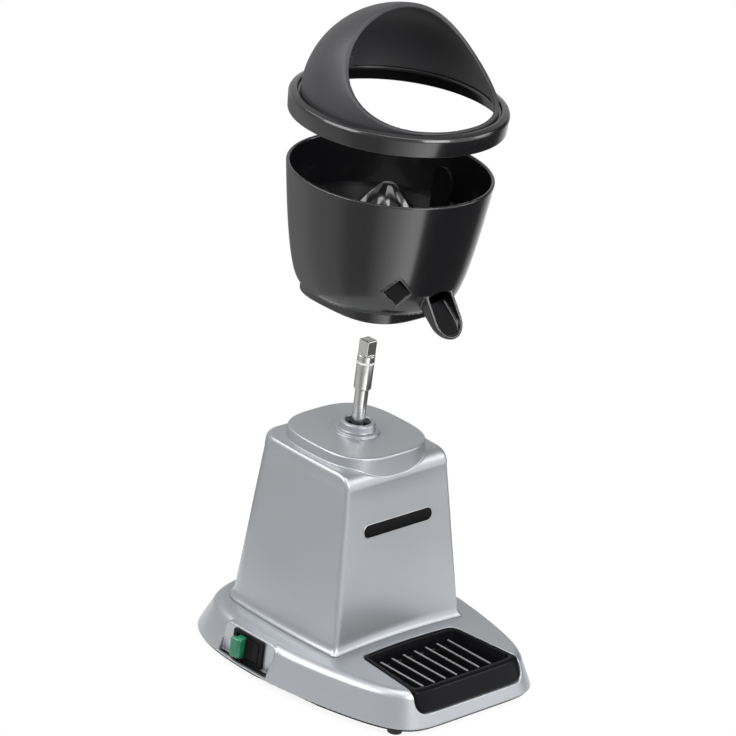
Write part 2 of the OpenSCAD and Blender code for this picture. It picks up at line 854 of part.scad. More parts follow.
// Turning parts on the spindle
module spindle() {
    shaft_r = shaft_d / 2;
    color(steel) at_spindle() {
        translate([0, 0, motor_z + 2]) cylinder(h = sleeve_top - motor_z - 2, r = shaft_r);
        translate([0, 0, sleeve_top - overlap]) cylinder(h = 2 * overlap, r = tang_w / 2 - overlap);
        translate([-tang_w / 2, -tang_w / 2, sleeve_top]) cube([tang_w, tang_w, tang_len]);
    }
}

ring_drop = 5;
ring_t = 1.6;
module drive_sleeve() {
    sleeve_r = sleeve_d / 2;
    color(steel) at_spindle(sleeve_top - sleeve_len) rotate_extrude() polygon([
        [shaft_d / 2, 0], [sleeve_r - 1, 0], [sleeve_r, 1], [sleeve_r, sleeve_len - ring_drop - ring_t],
        [sleeve_r - 1, sleeve_len - ring_drop - ring_t], [sleeve_r - 1, sleeve_len - ring_drop],
        [sleeve_r, sleeve_len - ring_drop], [sleeve_r, sleeve_len - 0.8], [sleeve_r - 0.8, sleeve_len],
        [shaft_d / 2, sleeve_len]
    ]);
}

module sleeve_ring() {
    ring_top = sleeve_top - ring_drop;
    color("white") at_spindle() ring(sleeve_d / 2 + 0.3, sleeve_d / 2 - 1, ring_top - ring_t, ring_top);
}

module rotor_core() {
    color(steel) at_spindle() ring(rotor_r, shaft_d / 2, stack_z, stack_z + stack_h);
}

module cooling_fan() {
    blade_h = 5;
    color(black) at_spindle(stack_z - blade_h - 1) {
        ring(8, shaft_d / 2, 0, blade_h);
        ring(rotor_r - 3, 7, 0, 1.2);
        for (a = [0:45:315]) rotate(a) translate([7.5, -0.8, 0]) cube([rotor_r - 11, 1.6, blade_h]);
    }
}

// Drip tray: its front wall fills the notch in the plinth, its floor carries ribs
tray_rim = 1;
tray_wall = 3.5;
rib_t = 1.6;
rib_h = 5;
rib_margin = 8;
module tray_cavity(z0) {
    intersection() {
        tray_block(-tray_wall, z0, deck_z + 20);
        loft([
            plinth_ring(foot_h, tray_wall + 2.5),
            plinth_ring(deck_z + 20, lean_at(plinth_h + 20) + tray_wall + 2.5)
        ]);
    }
}

module drip_tray() {
    floor_z = tray_z + 3;
    rib_front = front_reach - plinth_lean - tray_wall - rib_margin;
    color(black) union() {
        difference() {
            intersection() {
                tray_block(0, tray_z, deck_z + tray_rim);
                plinth_form(deck_z + 20, 0);
            }
            tray_cavity(floor_z);
        }
        at_spindle(floor_z - overlap) for (i = [0:rib_count - 1])
            translate([(i - (rib_count - 1) / 2) * rib_pitch - rib_t / 2, -rib_front, 0])
            cube([rib_t, rib_front - tray_back - tray_wall - rib_margin / 2, rib_h + overlap]);
    }
}

// Bowl: a turned cup on a skirt that fits the seat, with a centre tube and a spout
wall_power = 0.55;
wall_steps = 14;
tube_r = sleeve_d / 2 + 2.4;
tube_wall = 2.2;
tube_top = spindle_reach + collar_h + seat_h - tang_len - lift_gap - 8;
tube_foot_r = collar_bore_r + collar_flange + 2 * lift_gap;
tube_foot_h = seat_h + collar_h + 2.5;
bowl_floor = skirt_h + 3;
function bowl_radius(z) =
    bowl_foot_r + (bowl_r - bowl_foot_r) * pow((z - skirt_h) / (bowl_h - skirt_h), wall_power);
function wall_curve(z0, inset) = [
    for (i = [0:wall_steps])
        let (z = z0 + (bowl_h - z0) * pow(i / wall_steps, 1.6))
        [bowl_radius(z) - inset, z]
];

// The spout runs down a slope from the foot of the bowl wall
spout_slope = 52;
spout_start = bowl_foot_r - 3;
spout_rise = 17;
spout_depth = 14;
spout_lip = 6;
spout_mouth = 8;
module on_spout() {
    translate([0, -spout_start, spout_rise]) rotate([90 - spout_slope, 0, 0]) rotate([90, 0, 0]) children();
}

// Long section of the spout, with s down the slope along +Z and n away from the floor along +Y
module spout_solid(inset, floor_n, len_s, start_s, top) {
    half = spout_w / 2 - inset;
    intersection() {
        translate([half, 0, 0]) rotate([0, -90, 0]) linear_extrude(2 * half)
            polygon(concat([[start_s, floor_n], [len_s, floor_n]], top));
        union() {
            translate([-half, -1, start_s]) cube([2 * half, 60, len_s - half - start_s]);
            translate([0, -1, len_s - half]) rotate([-90, 0, 0]) cylinder(h = 60, r = half);
        }
    }
}

// Diamond shaped pocket low on the wall, left of the spout
mark_turn = -33;
mark_w = 13;
mark_depth = 1.1;
mark_z = skirt_h + 19;
mark_tilt = 13;

module bowl() {
    color(black) at_spindle(bowl_z) difference() {
        union() {
            difference() {
                union() {
                    rotate_extrude() polygon(concat(
                        [[0, skirt_h - 1.5], [bowl_foot_r - 1.5, skirt_h - 1.5]],
                        wall_curve(skirt_h, 0),
                        [[0, bowl_h]]
                    ));
                    on_spout() spout_solid(0, 0, spout_len, -4, [[spout_len, spout_lip], [-4, spout_depth]]);
                }
                rotate_extrude() polygon(concat(
                    [[0, bowl_floor]],
                    wall_curve(bowl_floor, bowl_wall),
                    [[bowl_r - bowl_wall, bowl_h + 1], [0, bowl_h + 1]]
                ));
                on_spout() spout_solid(bowl_wall, bowl_wall, spout_len - bowl_wall, -10, [
                    [spout_len, 2 * spout_depth],
                    [spout_mouth, spout_depth + 1],
                    [-10, spout_depth - 1]
                ]);
            }
            loft_shell(
                [seat_ring(skirt_half, seat_ledge), seat_ring(skirt_half, skirt_h)],
                [
                    seat_ring(skirt_half - skirt_wall, skirt_h - 1),
                    seat_ring(skirt_half - skirt_wall, seat_ledge)
                ]
            );
            rotate_extrude() polygon([
                [0, skirt_h - 1.5],
                [tube_foot_r + tube_wall, skirt_h - 1.5],
                [tube_foot_r + tube_wall, tube_foot_h],
                [tube_r + tube_wall, tube_foot_h + 6],
                [tube_r + tube_wall, tube_top],
                [0, tube_top]
            ]);
        }
        rotate_extrude() polygon([
            [0, -1],
            [tube_foot_r, -1],
            [tube_foot_r, tube_foot_h - 2],
            [tube_r, tube_foot_h + 4],
            [tube_r, tube_top + 1],
            [0, tube_top + 1]
        ]);
        rotate(mark_turn) translate([0, -bowl_radius(mark_z), mark_z]) rotate([90 + mark_tilt, 0, 0])
            translate([0, 0, -mark_depth]) linear_extrude(20) rotate(45) square(mark_w, center = true);
    }
}
skirt_wall = 2.2;
skirt_half = seat_w / 2 + seat_draft + lift_gap + skirt_wall;

// Strainer: a slotted basket that hangs in the taper of the bowl and clears the centre tube
strainer_wall = 1.8;
strainer_r = bowl_radius(strainer_rim) - bowl_wall - lift_gap;
strainer_floor_r = strainer_r - 13;
strainer_hub_r = tube_r + tube_wall + lift_gap;
ear_w = 16;
ear_t = 2.2;
slot_w = 1.6;
ear_top = bowl_h - 9;
module strainer() {
    z1 = strainer_rim;
    z0 = strainer_rim - strainer_depth;
    t = strainer_wall;
    ear_r = strainer_r - 11;
    ear_foot = z1 - 11.2;
    color(black) at_spindle(bowl_z) {
        difference() {
            rotate_extrude() polygon([
                [strainer_hub_r, z0],
                [strainer_floor_r, z0],
                [strainer_r - 5, z1 - t - 1],
                [strainer_r, z1 - t],
                [strainer_r, z1],
                [strainer_r - 6, z1],
                [strainer_floor_r - t, z0 + t],
                [strainer_hub_r + t, z0 + t],
                [strainer_hub_r + t, z0 + 4],
                [strainer_hub_r, z0 + 4]
            ]);
            for (i = [0:slot_count - 1]) rotate(i * 360 / slot_count)
                translate([strainer_hub_r + 9, -slot_w / 2, z0 - 1])
                cube([strainer_floor_r - strainer_hub_r - 13, slot_w, t + 2]);
        }
        for (a = [0, 180]) rotate(a) translate([ear_r, 0, ear_foot]) rotate([90, 0, 90])
            linear_extrude(ear_t) {
                translate([-ear_w / 2, 0]) square([ear_w, ear_top - ear_foot - ear_w / 2]);
                translate([0, ear_top - ear_foot - ear_w / 2]) circle(ear_w / 2);
            }
    }
}

// Reamer: a pointed dome with sharp ridges, hollow over the centre tube
reamer_z = strainer_rim - strainer_depth + 5;
reamer_tip = bowl_h - reamer_drop;
reamer_rim_t = 3;
insert_r = tang_w * 0.75 + 2;
insert_z = spindle_reach + collar_h + seat_h - tang_len;
reamer_samples = 8;
reamer_rings = 14;
ridge_depth = 0.17;
function reamer_ring(u) =
    let (
        n = ridge_count * reamer_samples,
        base = 2.5 + (reamer_r - 2.5) * pow(u, 0.72),
        z = reamer_tip - (reamer_tip - reamer_z - reamer_rim_t) * u
    )
    [
        for (i = [0:n - 1])
            let (
                a = 360 * i / n,
                valley = abs(sin(ridge_count * a / 2)),
                r = base * (1 - ridge_depth * min(1, 3 * u) * valley)
            )
            [r * cos(a), r * sin(a), z]
    ];

module reamer() {
    color(dark_grey) at_spindle(bowl_z) difference() {
        union() {
            loft([for (i = [reamer_rings:-1:0]) reamer_ring(pow(i / reamer_rings, 1.5))]);
            ring(reamer_r + 2, tube_r, reamer_z, reamer_z + reamer_rim_t + 0.6);
        }
        translate([0, 0, reamer_z - 1])
            cylinder(h = tube_top + lift_gap - reamer_z + 1, r = strainer_hub_r + 2.6);
        translate([0, 0, tube_top]) cylinder(h = insert_z - tube_top, r = tube_r);
        translate([0, 0, insert_z - overlap]) cylinder(h = tang_len + lift_gap + overlap, r = insert_r);
    }
}

module drive_insert() {
    socket = tang_w + 2 * tang_gap;
    color(steel) at_spindle(bowl_z + insert_z) difference() {
        cylinder(h = tang_len + lift_gap, r = insert_r);
        translate([-socket / 2, -socket / 2, -1]) cube([socket, socket, tang_len + 1 + 0.2]);
    }
}

// Splash hood: a ring that drops over the rim of the bowl and an open dome
ring_wall = 2.4;
ring_inner = bowl_r + lift_gap + 0.4;
groove_r = dome_r + 2;
module hood_ring() {
    seat = dome_r - dome_wall - 0.5;
    color(black) at_spindle(ring_z) rotate_extrude() polygon([
        [ring_inner, -ring_h], [ring_r - 0.8, -ring_h], [ring_r, -1.2], [ring_r - 0.8, 0.4],
        [groove_r + 1.5, 1.6], [groove_r, 1.6], [groove_r - 0.6, 0], [seat, 0],
        [seat, -dome_wall], [ring_inner, -dome_wall]
    ]);
}

scoop_front = scoop_r - 13;
scoop_up = scoop_r + 2;
dome_steps = 18;
function dome_curve(r, h) = [for (i = [0:dome_steps]) let (a = 90 * i / dome_steps) [r * cos(a), h * sin(a)]];
module splash_dome() {
    tab_w = 30;
    tab_h = 9;
    color(dark_grey) at_spindle(ring_z) difference() {
        union() {
            rotate_extrude() polygon(concat(
                dome_curve(dome_r, dome_h),
                [for (i = [dome_steps:-1:0]) dome_curve(dome_r - dome_wall, dome_h - dome_wall)[i]]
            ));
            intersection() {
                ring(dome_r - 1, dome_r - dome_wall - 1.6, 0, tab_h);
                translate([-tab_w / 2, 0, 0]) cube([tab_w, dome_r, tab_h]);
            }
        }
        translate([0, -scoop_front, scoop_up]) rotate([0, 90, 0])
            cylinder(h = 4 * dome_r, r = scoop_r, center = true);
        translate([-2 * dome_r, -scoop_front - 2 * dome_r, 2]) cube([4 * dome_r, 2 * dome_r, 2 * dome_h]);
    }
}

body_shell();
plinth();
base_plate();
rubber_feet();
base_screws();
body_screws();
spindle_seal();
switch_bezel();
switch_case();
switch_terminals();
cord_gland();
stator_core();
stator_windings();
upper_end_bell();
lower_end_bell();
upper_bearing();
lower_bearing();
through_bolts();
motor_mounts();
run_capacitor();
capacitor_clip();
terminal_block();
rocker();
rocker_lens();
spindle();
drive_sleeve();
sleeve_ring();
rotor_core();
cooling_fan();
drip_tray();
bowl();
strainer();
reamer();
drive_insert();
hood_ring();
splash_dome();
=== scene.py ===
"""Electric citrus juicer: looks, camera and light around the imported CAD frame.

Lengths are written in millimetres in the part's own frame and turned into metres when a mesh
is made. Smooth pieces are either lofted from rings, turned from a profile, or meshed from a
signed distance field, which gives every moulded edge its round.
"""
import math

import bpy
import numpy as np
from mathutils import Matrix, Vector


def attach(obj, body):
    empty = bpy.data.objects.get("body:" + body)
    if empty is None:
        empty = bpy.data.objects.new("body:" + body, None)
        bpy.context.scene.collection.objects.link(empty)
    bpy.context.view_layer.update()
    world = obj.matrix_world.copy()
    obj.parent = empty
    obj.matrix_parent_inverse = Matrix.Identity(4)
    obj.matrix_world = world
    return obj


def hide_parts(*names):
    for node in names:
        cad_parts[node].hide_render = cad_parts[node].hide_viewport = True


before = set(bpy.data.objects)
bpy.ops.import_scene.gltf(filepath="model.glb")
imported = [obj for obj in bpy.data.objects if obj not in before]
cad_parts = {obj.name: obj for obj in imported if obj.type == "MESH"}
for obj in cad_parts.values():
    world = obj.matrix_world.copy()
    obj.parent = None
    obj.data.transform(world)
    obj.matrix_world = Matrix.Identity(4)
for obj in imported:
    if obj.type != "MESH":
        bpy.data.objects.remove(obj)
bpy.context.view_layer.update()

MM = 0.001

# Levels and sizes shared with the CAD model, in millimetres
AXIS_Y = 34.0
FOOT_H = 7.0
PLINTH_W, PLINTH_D, PLINTH_H = 190.0, 220.0, 24.0
PLINTH_LEAN, PLINTH_TAPER, TAPER_POWER = 10.0, 0.28, 1.4
FRONT_POWER, BACK_POWER = 7.5, 3.4
WALL = 3.0
GAP = 0.4
BODY_H, SEAT_H, COLLAR_H = 124.0, 8.0, 8.0
SPINDLE_REACH, TANG_LEN = 61.0, 11.0
BOWL_H, BOWL_RAISE = 94.0, 109.0
DOME_R, DOME_H, DOME_WALL, HOOD_RAISE = 67.5, 66.0, 2.4, 47.0
DECK_Z = FOOT_H + PLINTH_H
SHOULDER_Z = DECK_Z + BODY_H
SEAT_Z = SHOULDER_Z + SEAT_H
COLLAR_Z = SEAT_Z + COLLAR_H
SPINDLE_TOP = COLLAR_Z + SPINDLE_REACH
SLEEVE_TOP = SPINDLE_TOP - TANG_LEN
BOWL_Z = SHOULDER_Z + GAP + BOWL_RAISE
RING_Z = BOWL_Z + BOWL_H + GAP + DOME_WALL + HOOD_RAISE
RIB_TOP = 27.2


# Mesh helpers
def add_mesh(name, verts, faces):
    """A smooth shaded mesh object from millimetre points."""
    mesh = bpy.data.meshes.new(name)
    mesh.from_pydata((np.asarray(verts, float) * MM).tolist(), [], faces)
    mesh.validate()
    mesh.polygons.foreach_set("use_smooth", [True] * len(mesh.polygons))
    mesh.update()
    obj = bpy.data.objects.new(name, mesh)
    bpy.context.scene.collection.objects.link(obj)
    return obj


def piece(obj, body, slot, mat, *nodes):
    """Gives a piece its material and its body, and hides the CAD nodes it stands for. slot is not used."""
    obj.data.materials.clear()
    obj.data.materials.append(mat)
    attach(obj, body)
    if nodes:
        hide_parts(*nodes)
    return obj


def sharpen(obj, degrees):
    """Marks edges that turn more than this as sharp, so flat faces shade flat."""
    obj.data.set_sharp_from_angle(angle=math.radians(degrees))
    return obj


def skin(rings, closed_up=False, cap_first=False, cap_last=False):
    """Faces between rings of equal length; closed_up also joins the last ring to the first."""
    count, points = len(rings), len(rings[0])
    faces = []
    for j in range(count if closed_up else count - 1):
        a, b = j * points, ((j + 1) % count) * points
        for i in range(points):
            k = (i + 1) % points
            faces.append((a + i, a + k, b + k, b + i))
    if cap_first:
        faces.append(tuple(range(points - 1, -1, -1)))
    if cap_last:
        faces.append(tuple((count - 1) * points + i for i in range(points)))
    return np.concatenate([np.asarray(r, float) for r in rings]), faces


ROUND_STEPS, SIDE_SHARE = 4, 0.48


def round_profile(points):
    """Rounds the corners of a closed profile of (r, z, radius) points."""
    out = []
    count = len(points)
    for i, (r, z, radius) in enumerate(points):
        here = np.array((r, z))
        before = np.array(points[i - 1][:2]) - here
        after = np.array(points[(i + 1) % count][:2]) - here
        len_b, len_a = np.linalg.norm(before), np.linalg.norm(after)
        if radius <= 0:
            out.append(here)
            continue
        before, after = before / len_b, after / len_a
        half = math.acos(np.clip(before @ after, -1, 1)) / 2
        reach = min(radius / math.tan(half), SIDE_SHARE * len_b, SIDE_SHARE * len_a)
        radius = reach * math.tan(half)
        middle = here + (before + after) / np.linalg.norm(before + after) * radius / math.sin(half)
        start = here + before * reach - middle
        end = here + after * reach - middle
        a0 = math.atan2(start[1], start[0])
        turn = math.atan2(end[1], end[0]) - a0
        turn = (turn + math.pi) % (2 * math.pi) - math.pi
        for k in range(ROUND_STEPS + 1):
            a = a0 + turn * k / ROUND_STEPS
            out.append(middle + radius * np.array((math.cos(a), math.sin(a))))
    return np.array(out)


def turned(name, points, steps, z, at=(0.0, AXIS_Y)):
    """A ring turned round the upright axis through at from a closed rounded profile."""
    profile = round_profile(points)
    a = np.linspace(0, 2 * np.pi, steps, endpoint=False)
    rings = [
        np.stack([at[0] + r * np.cos(a), at[1] + r * np.sin(a), np.full(steps, z + h)], 1)
        for r, h in profile
    ]
    area = sum(
        p[0] * q[1] - q[0] * p[1] for p, q in zip(profile, np.roll(profile, -1, 0))
    )
    verts, faces = skin(rings, closed_up=True)
    if area < 0:
        faces = [f[::-1] for f in faces]
    return add_mesh(name, verts, faces)


# Distance fields
def both(a, b, r):
    """Where both fields hold, with the edge between them rounded by r."""
    u, v = np.maximum(a + r, 0), np.maximum(b + r, 0)
    return np.minimum(np.maximum(a, b), -r) + np.sqrt(u * u + v * v)


def either(a, b, r):
    """Where either field holds, with a fillet of r where they meet."""
    return -both(-a, -b, r)


def cut(a, b, r):
    """The first field without the second, with the edge rounded by r."""
    return both(a, -b, r)


def box2(u, v, half_u, half_v, r):
    """Rounded rectangle."""
    return both(np.abs(u) - half_u, np.abs(v) - half_v, r)


def oval(x, y, half_x, half_y, n):
    """Superellipse outline."""
    ax, ay = np.abs(x) / half_x, np.abs(y) / half_y
    rho = np.maximum((ax ** n + ay ** n) ** (1 / n), 1e-6)
    slope = np.hypot((ax / rho) ** (n - 1) / half_x, (ay / rho) ** (n - 1) / half_y)
    return (rho - 1) / slope


CORNERS = np.array([(i, j, k) for i in (0, 1) for j in (0, 1) for k in (0, 1)])
EDGES = [
    (a, b) for a in range(8) for b in range(a + 1, 8) if np.abs(CORNERS[a] - CORNERS[b]).sum() == 1
]


SLOPE_STEP, LEAST_SLOPE, SETTLE_ROUNDS = 0.02, 0.05, 2


def slope_of(field, p):
    """Gradient of a field at points."""
    out = np.empty_like(p)
    for axis in range(3):
        d = np.zeros(3)
        d[axis] = SLOPE_STEP
        out[:, axis] = (field(*(p + d).T) - field(*(p - d).T)) / (2 * SLOPE_STEP)
    return out


def settle(field, p, pitch):
    """Moves points on to the zero surface of a field, by half a pitch at most in each round."""
    for _ in range(SETTLE_ROUNDS):
        g = slope_of(field, p)
        size = np.maximum((g * g).sum(1), LEAST_SLOPE)
        move = (field(*p.T) / size)[:, None] * g
        far = np.maximum(np.abs(move).max(1, keepdims=True) / (0.5 * pitch), 1)
        p = p - move / far
    return p


def carved(name, field, low, high, pitch, keep=1.0):
    """Meshes the zero surface of a field(x, y, z), thins it to a share of its faces and shades
    it with the field's own normals."""
    axes = [np.arange(lo - pitch, hi + 2 * pitch, pitch) for lo, hi in zip(low, high)]
    shape = tuple(len(a) for a in axes)
    values = np.empty(shape)
    gx, gy = np.meshgrid(axes[0], axes[1], indexing="ij")
    for k, level in enumerate(axes[2]):
        values[:, :, k] = field(gx, gy, np.full_like(gx, level))
    inside = values < 0
    cells = tuple(n - 1 for n in shape)
    count = np.zeros(cells, np.uint8)
    for i, j, k in CORNERS:
        count += inside[i:i + cells[0], j:j + cells[1], k:k + cells[2]]
    where = np.argwhere((count > 0) & (count < 8))
    total, hits = np.zeros((len(where), 3)), np.zeros(len(where))
    at_corner = [values[tuple((where + c).T)] for c in CORNERS]
    for a, b in EDGES:
        fa, fb = at_corner[a], at_corner[b]
        cross = (fa < 0) != (fb < 0)
        t = np.where(cross, fa / np.where(cross, fa - fb, 1), 0)
        total += np.where(cross[:, None], CORNERS[a] + t[:, None] * (CORNERS[b] - CORNERS[a]), 0)
        hits += cross
    points = np.array([a[0] for a in axes]) + pitch * (where + total / hits[:, None])
    index = np.full(cells, -1)
    index[tuple(where.T)] = np.arange(len(where))
    quads = []
    for axis in range(3):
        one, two = (axis + 1) % 3, (axis + 2) % 3
        low_side = [slice(1, n) for n in cells]
        low_side[axis] = slice(0, cells[axis])
        high_side = list(low_side)
        high_side[axis] = slice(1, cells[axis] + 1)
        first, second = inside[tuple(low_side)], inside[tuple(high_side)]
        for flag, order in ((first & ~second, (0, 1, 2, 3)), (~first & second, (3, 2, 1, 0))):
            base = np.argwhere(flag) + 1
            base[:, axis] -= 1
            ring = []
            for da, db in ((-1, -1), (0, -1), (0, 0), (-1, 0)):
                c = base.copy()
                c[:, one] += da
                c[:, two] += db
                ring.append(index[tuple(c.T)])
            quads.append(np.stack([ring[o] for o in order], 1))
    faces = np.concatenate(quads)
    points = settle(field, points, pitch)
    obj = add_mesh(name, points, faces.tolist())
    if keep < 1:
        thin = obj.modifiers.new("thin", "DECIMATE")
        thin.ratio = keep
        bpy.context.view_layer.update()
        seen = obj.evaluated_get(bpy.context.evaluated_depsgraph_get())
        mesh = bpy.data.meshes.new_from_object(seen)
        obj.modifiers.clear()
        old, obj.data = obj.data, mesh
        bpy.data.meshes.remove(old)
        mesh.name = name
    mesh = obj.data
    points = np.empty(len(mesh.vertices) * 3)
    mesh.vertices.foreach_get("co", points)
    points = settle(field, points.reshape(-1, 3) / MM, pitch)
    normals = slope_of(field, points)
    normals /= np.maximum(np.linalg.norm(normals, axis=1, keepdims=True), 1e-9)
    mesh.vertices.foreach_set("co", (points * MM).ravel())
    mesh.polygons.foreach_set("use_smooth", [True] * len(mesh.polygons))
    mesh.normals_split_custom_set_from_vertices(normals.tolist())
    mesh.update()
    return obj


# Materials
BROAD_DETAIL, FINE_DETAIL, BUMP_STRENGTH = 4.0, 3.0, 0.6
SHADE_AT, TONE_AT = 0.3, 0.7
# Sockets of the Mix node: the share, two values, two colours and the colour that comes out
MIX_SHARE, MIX_A, MIX_B, COLOUR_A, COLOUR_B, COLOUR_OUT = 0, 2, 3, 6, 7, 2


def link(tree, out, into):
    """Joins an output socket to an input socket."""
    tree.links.new(out, into)


def surface(name, tone, shade, rough, rough_more, grain, depth, cloud=30.0, stretch=(1, 1, 1),
            fine_share=0.5, metallic=0.0, painted_highlight=None, **sockets):
    """A procedural finish: colour drifts between tone and shade, roughness drifts with it, and
    fine grain of the given scale per metre raises the surface by depth metres. Two heights in
    millimetres and a pale colour, when given, add a painted highlight: between the heights the
    colour goes over to the pale one, as if the tops of raised parts caught the light."""
    mat = bpy.data.materials.new(name)
    mat.use_nodes = True
    tree = mat.node_tree
    bsdf = tree.nodes["Principled BSDF"]
    bsdf.inputs["Metallic"].default_value = metallic
    for socket, value in sockets.items():
        bsdf.inputs[socket.replace("_", " ")].default_value = value
    coords = tree.nodes.new("ShaderNodeTexCoord")
    place = tree.nodes.new("ShaderNodeMapping")
    place.inputs["Scale"].default_value = stretch
    link(tree, coords.outputs["Object"], place.inputs["Vector"])
    broad = tree.nodes.new("ShaderNodeTexNoise")
    broad.inputs["Scale"].default_value = cloud
    broad.inputs["Detail"].default_value = BROAD_DETAIL
    fine = tree.nodes.new("ShaderNodeTexNoise")
    fine.inputs["Scale"].default_value = grain
    fine.inputs["Detail"].default_value = FINE_DETAIL
    for noise in (broad, fine):
        link(tree, place.outputs["Vector"], noise.inputs["Vector"])
    blend = tree.nodes.new("ShaderNodeMix")
    blend.inputs[MIX_SHARE].default_value = fine_share
    link(tree, broad.outputs["Fac"], blend.inputs[MIX_A])
    link(tree, fine.outputs["Fac"], blend.inputs[MIX_B])
    ramp = tree.nodes.new("ShaderNodeValToRGB")
    ramp.color_ramp.elements[0].position = SHADE_AT
    ramp.color_ramp.elements[0].color = (*shade, 1)
    ramp.color_ramp.elements[1].position = TONE_AT
    ramp.color_ramp.elements[1].color = (*tone, 1)
    link(tree, blend.outputs[0], ramp.inputs["Fac"])
    colour = ramp.outputs["Color"]
    # Painted highlight: between two heights the colour goes over to a pale one, on the tops of raised parts
    if painted_highlight:
        low, high, pale = painted_highlight
        parts = tree.nodes.new("ShaderNodeSeparateXYZ")
        link(tree, coords.outputs["Object"], parts.inputs["Vector"])
        share = tree.nodes.new("ShaderNodeMapRange")
        share.inputs["From Min"].default_value = low * MM
        share.inputs["From Max"].default_value = high * MM
        link(tree, parts.outputs["Z"], share.inputs["Value"])
        over = tree.nodes.new("ShaderNodeMix")
        over.data_type = "RGBA"
        over.inputs[COLOUR_B].default_value = (*pale, 1)
        link(tree, share.outputs["Result"], over.inputs[MIX_SHARE])
        link(tree, colour, over.inputs[COLOUR_A])
        colour = over.outputs[COLOUR_OUT]
    link(tree, colour, bsdf.inputs["Base Color"])
    gloss = tree.nodes.new("ShaderNodeMapRange")
    gloss.inputs["To Min"].default_value = rough
    gloss.inputs["To Max"].default_value = rough + rough_more
    link(tree, blend.outputs[0], gloss.inputs["Value"])
    link(tree, gloss.outputs["Result"], bsdf.inputs["Roughness"])
    bump = tree.nodes.new("ShaderNodeBump")
    bump.inputs["Strength"].default_value = BUMP_STRENGTH
    bump.inputs["Distance"].default_value = depth
    link(tree, fine.outputs["Fac"], bump.inputs["Height"])
    link(tree, bump.outputs["Normal"], bsdf.inputs["Normal"])
    return mat


SILVER = surface("silver paint", (0.44, 0.457, 0.48), (0.38, 0.395, 0.418), 0.33, 0.07, 2600, 1.5e-5,
                 cloud=14, fine_share=0.55, metallic=0.75, Coat_Weight=0.2, Coat_Roughness=0.12)
BLACK = surface("black gloss plastic", (0.006, 0.006, 0.007), (0.004, 0.004, 0.005), 0.18, 0.07,
                900, 4e-6, cloud=22, Coat_Weight=0.5, Coat_Roughness=0.07)
INNER_BLACK = surface("black strainer plastic", (0.008, 0.008, 0.009), (0.005, 0.005, 0.006), 0.3, 0.1,
                      1500, 8e-6, Specular_IOR_Level=0.1)
TRAY_BLACK = surface("black tray plastic", (0.006, 0.006, 0.007), (0.004, 0.004, 0.005), 0.17, 0.08,
                     900, 8e-6, cloud=22, Specular_IOR_Level=0.09)
# Rib tops painted pale: a painted highlight in place of the light their rounded tops would catch
RIB_BLACK = surface("tray ribs painted pale on top", (0.010, 0.010, 0.011), (0.006, 0.006, 0.007), 0.2, 0.08,
                    900, 8e-6, cloud=60, painted_highlight=(RIB_TOP - 0.9, RIB_TOP - 0.3, (0.2, 0.2, 0.205)))
SATIN = surface("black satin plastic", (0.011, 0.011, 0.012), (0.007, 0.007, 0.008), 0.34, 0.1,
                3200, 1.5e-5, Specular_IOR_Level=0.25)
SWITCH_BLACK = surface("black switch plastic", (0.006, 0.006, 0.0065), (0.004, 0.004, 0.0045), 0.3, 0.1,
                       3200, 8e-6, Specular_IOR_Level=0.1)
SMOKE = surface("smoke satin plastic", (0.036, 0.036, 0.039), (0.027, 0.027, 0.030), 0.38, 0.1,
                3600, 3e-5)
RUBBER = surface("black rubber", (0.022, 0.022, 0.022), (0.014, 0.014, 0.014), 0.62, 0.15, 2400, 5e-5)
STEEL = surface("bright steel", (0.66, 0.655, 0.64), (0.5, 0.495, 0.485), 0.16, 0.12, 500, 6e-6,
                stretch=(1, 1, 7), metallic=1.0)
ZINC = surface("zinc plated steel", (0.62, 0.62, 0.6), (0.5, 0.5, 0.48), 0.3, 0.15, 1500, 1e-5,
               metallic=1.0)
LAMINATION = surface("steel laminations", (0.3, 0.3, 0.31), (0.16, 0.16, 0.17), 0.45, 0.15, 200, 6e-5,
                     stretch=(0.3, 0.3, 10), metallic=0.8)
ALLOY = surface("cast alloy", (0.5, 0.5, 0.5), (0.4, 0.4, 0.4), 0.5, 0.15, 900, 8e-5, metallic=0.9)
WINDING = surface("enamelled copper", (0.55, 0.2, 0.07), (0.35, 0.11, 0.04), 0.3, 0.15, 350, 2e-4,
                  stretch=(1, 1, 6), metallic=0.8)
LENS = surface("green lens", (0.016, 0.22, 0.105), (0.003, 0.05, 0.026), 0.12, 0.08, 700, 1e-5,
               cloud=110, fine_share=0.2, Specular_IOR_Level=0.3, Coat_Weight=0.4, Coat_Roughness=0.05)
NYLON = surface("white nylon", (0.82, 0.82, 0.8), (0.72, 0.72, 0.7), 0.4, 0.1, 1500, 1e-5)
PLATE = surface("plate enamel", (0.005, 0.005, 0.0055), (0.003, 0.003, 0.0035), 0.16, 0.08, 1800, 5e-6,
                Specular_IOR_Level=0.08)
PLATE_RIM = surface("plate rim", (0.6, 0.6, 0.61), (0.5, 0.5, 0.51), 0.25, 0.1, 1500, 5e-6,
                    metallic=1.0)

NODE_FINISH = {
    "body_shell": SILVER, "plinth": SILVER, "base_plate": SATIN, "rubber_feet": RUBBER,
    "base_screws": ZINC, "body_screws": ZINC, "spindle_seal": RUBBER, "switch_bezel": SATIN,
    "switch_case": SATIN, "switch_terminals": ZINC, "cord_gland": SATIN, "stator_core": LAMINATION,
    "stator_windings": WINDING, "upper_end_bell": ALLOY, "lower_end_bell": ALLOY,
    "upper_bearing": STEEL, "lower_bearing": STEEL, "through_bolts": ZINC, "motor_mounts": RUBBER,
    "run_capacitor": SMOKE, "capacitor_clip": ZINC, "terminal_block": SATIN, "rocker": SATIN,
    "rocker_lens": LENS, "spindle": STEEL, "drive_sleeve": STEEL, "sleeve_ring": NYLON,
    "rotor_core": LAMINATION, "cooling_fan": SATIN, "drip_tray": TRAY_BLACK, "bowl": BLACK,
    "strainer": INNER_BLACK, "reamer": BLACK, "drive_insert": STEEL, "hood_ring": BLACK,
    "splash_dome": SMOKE,
}
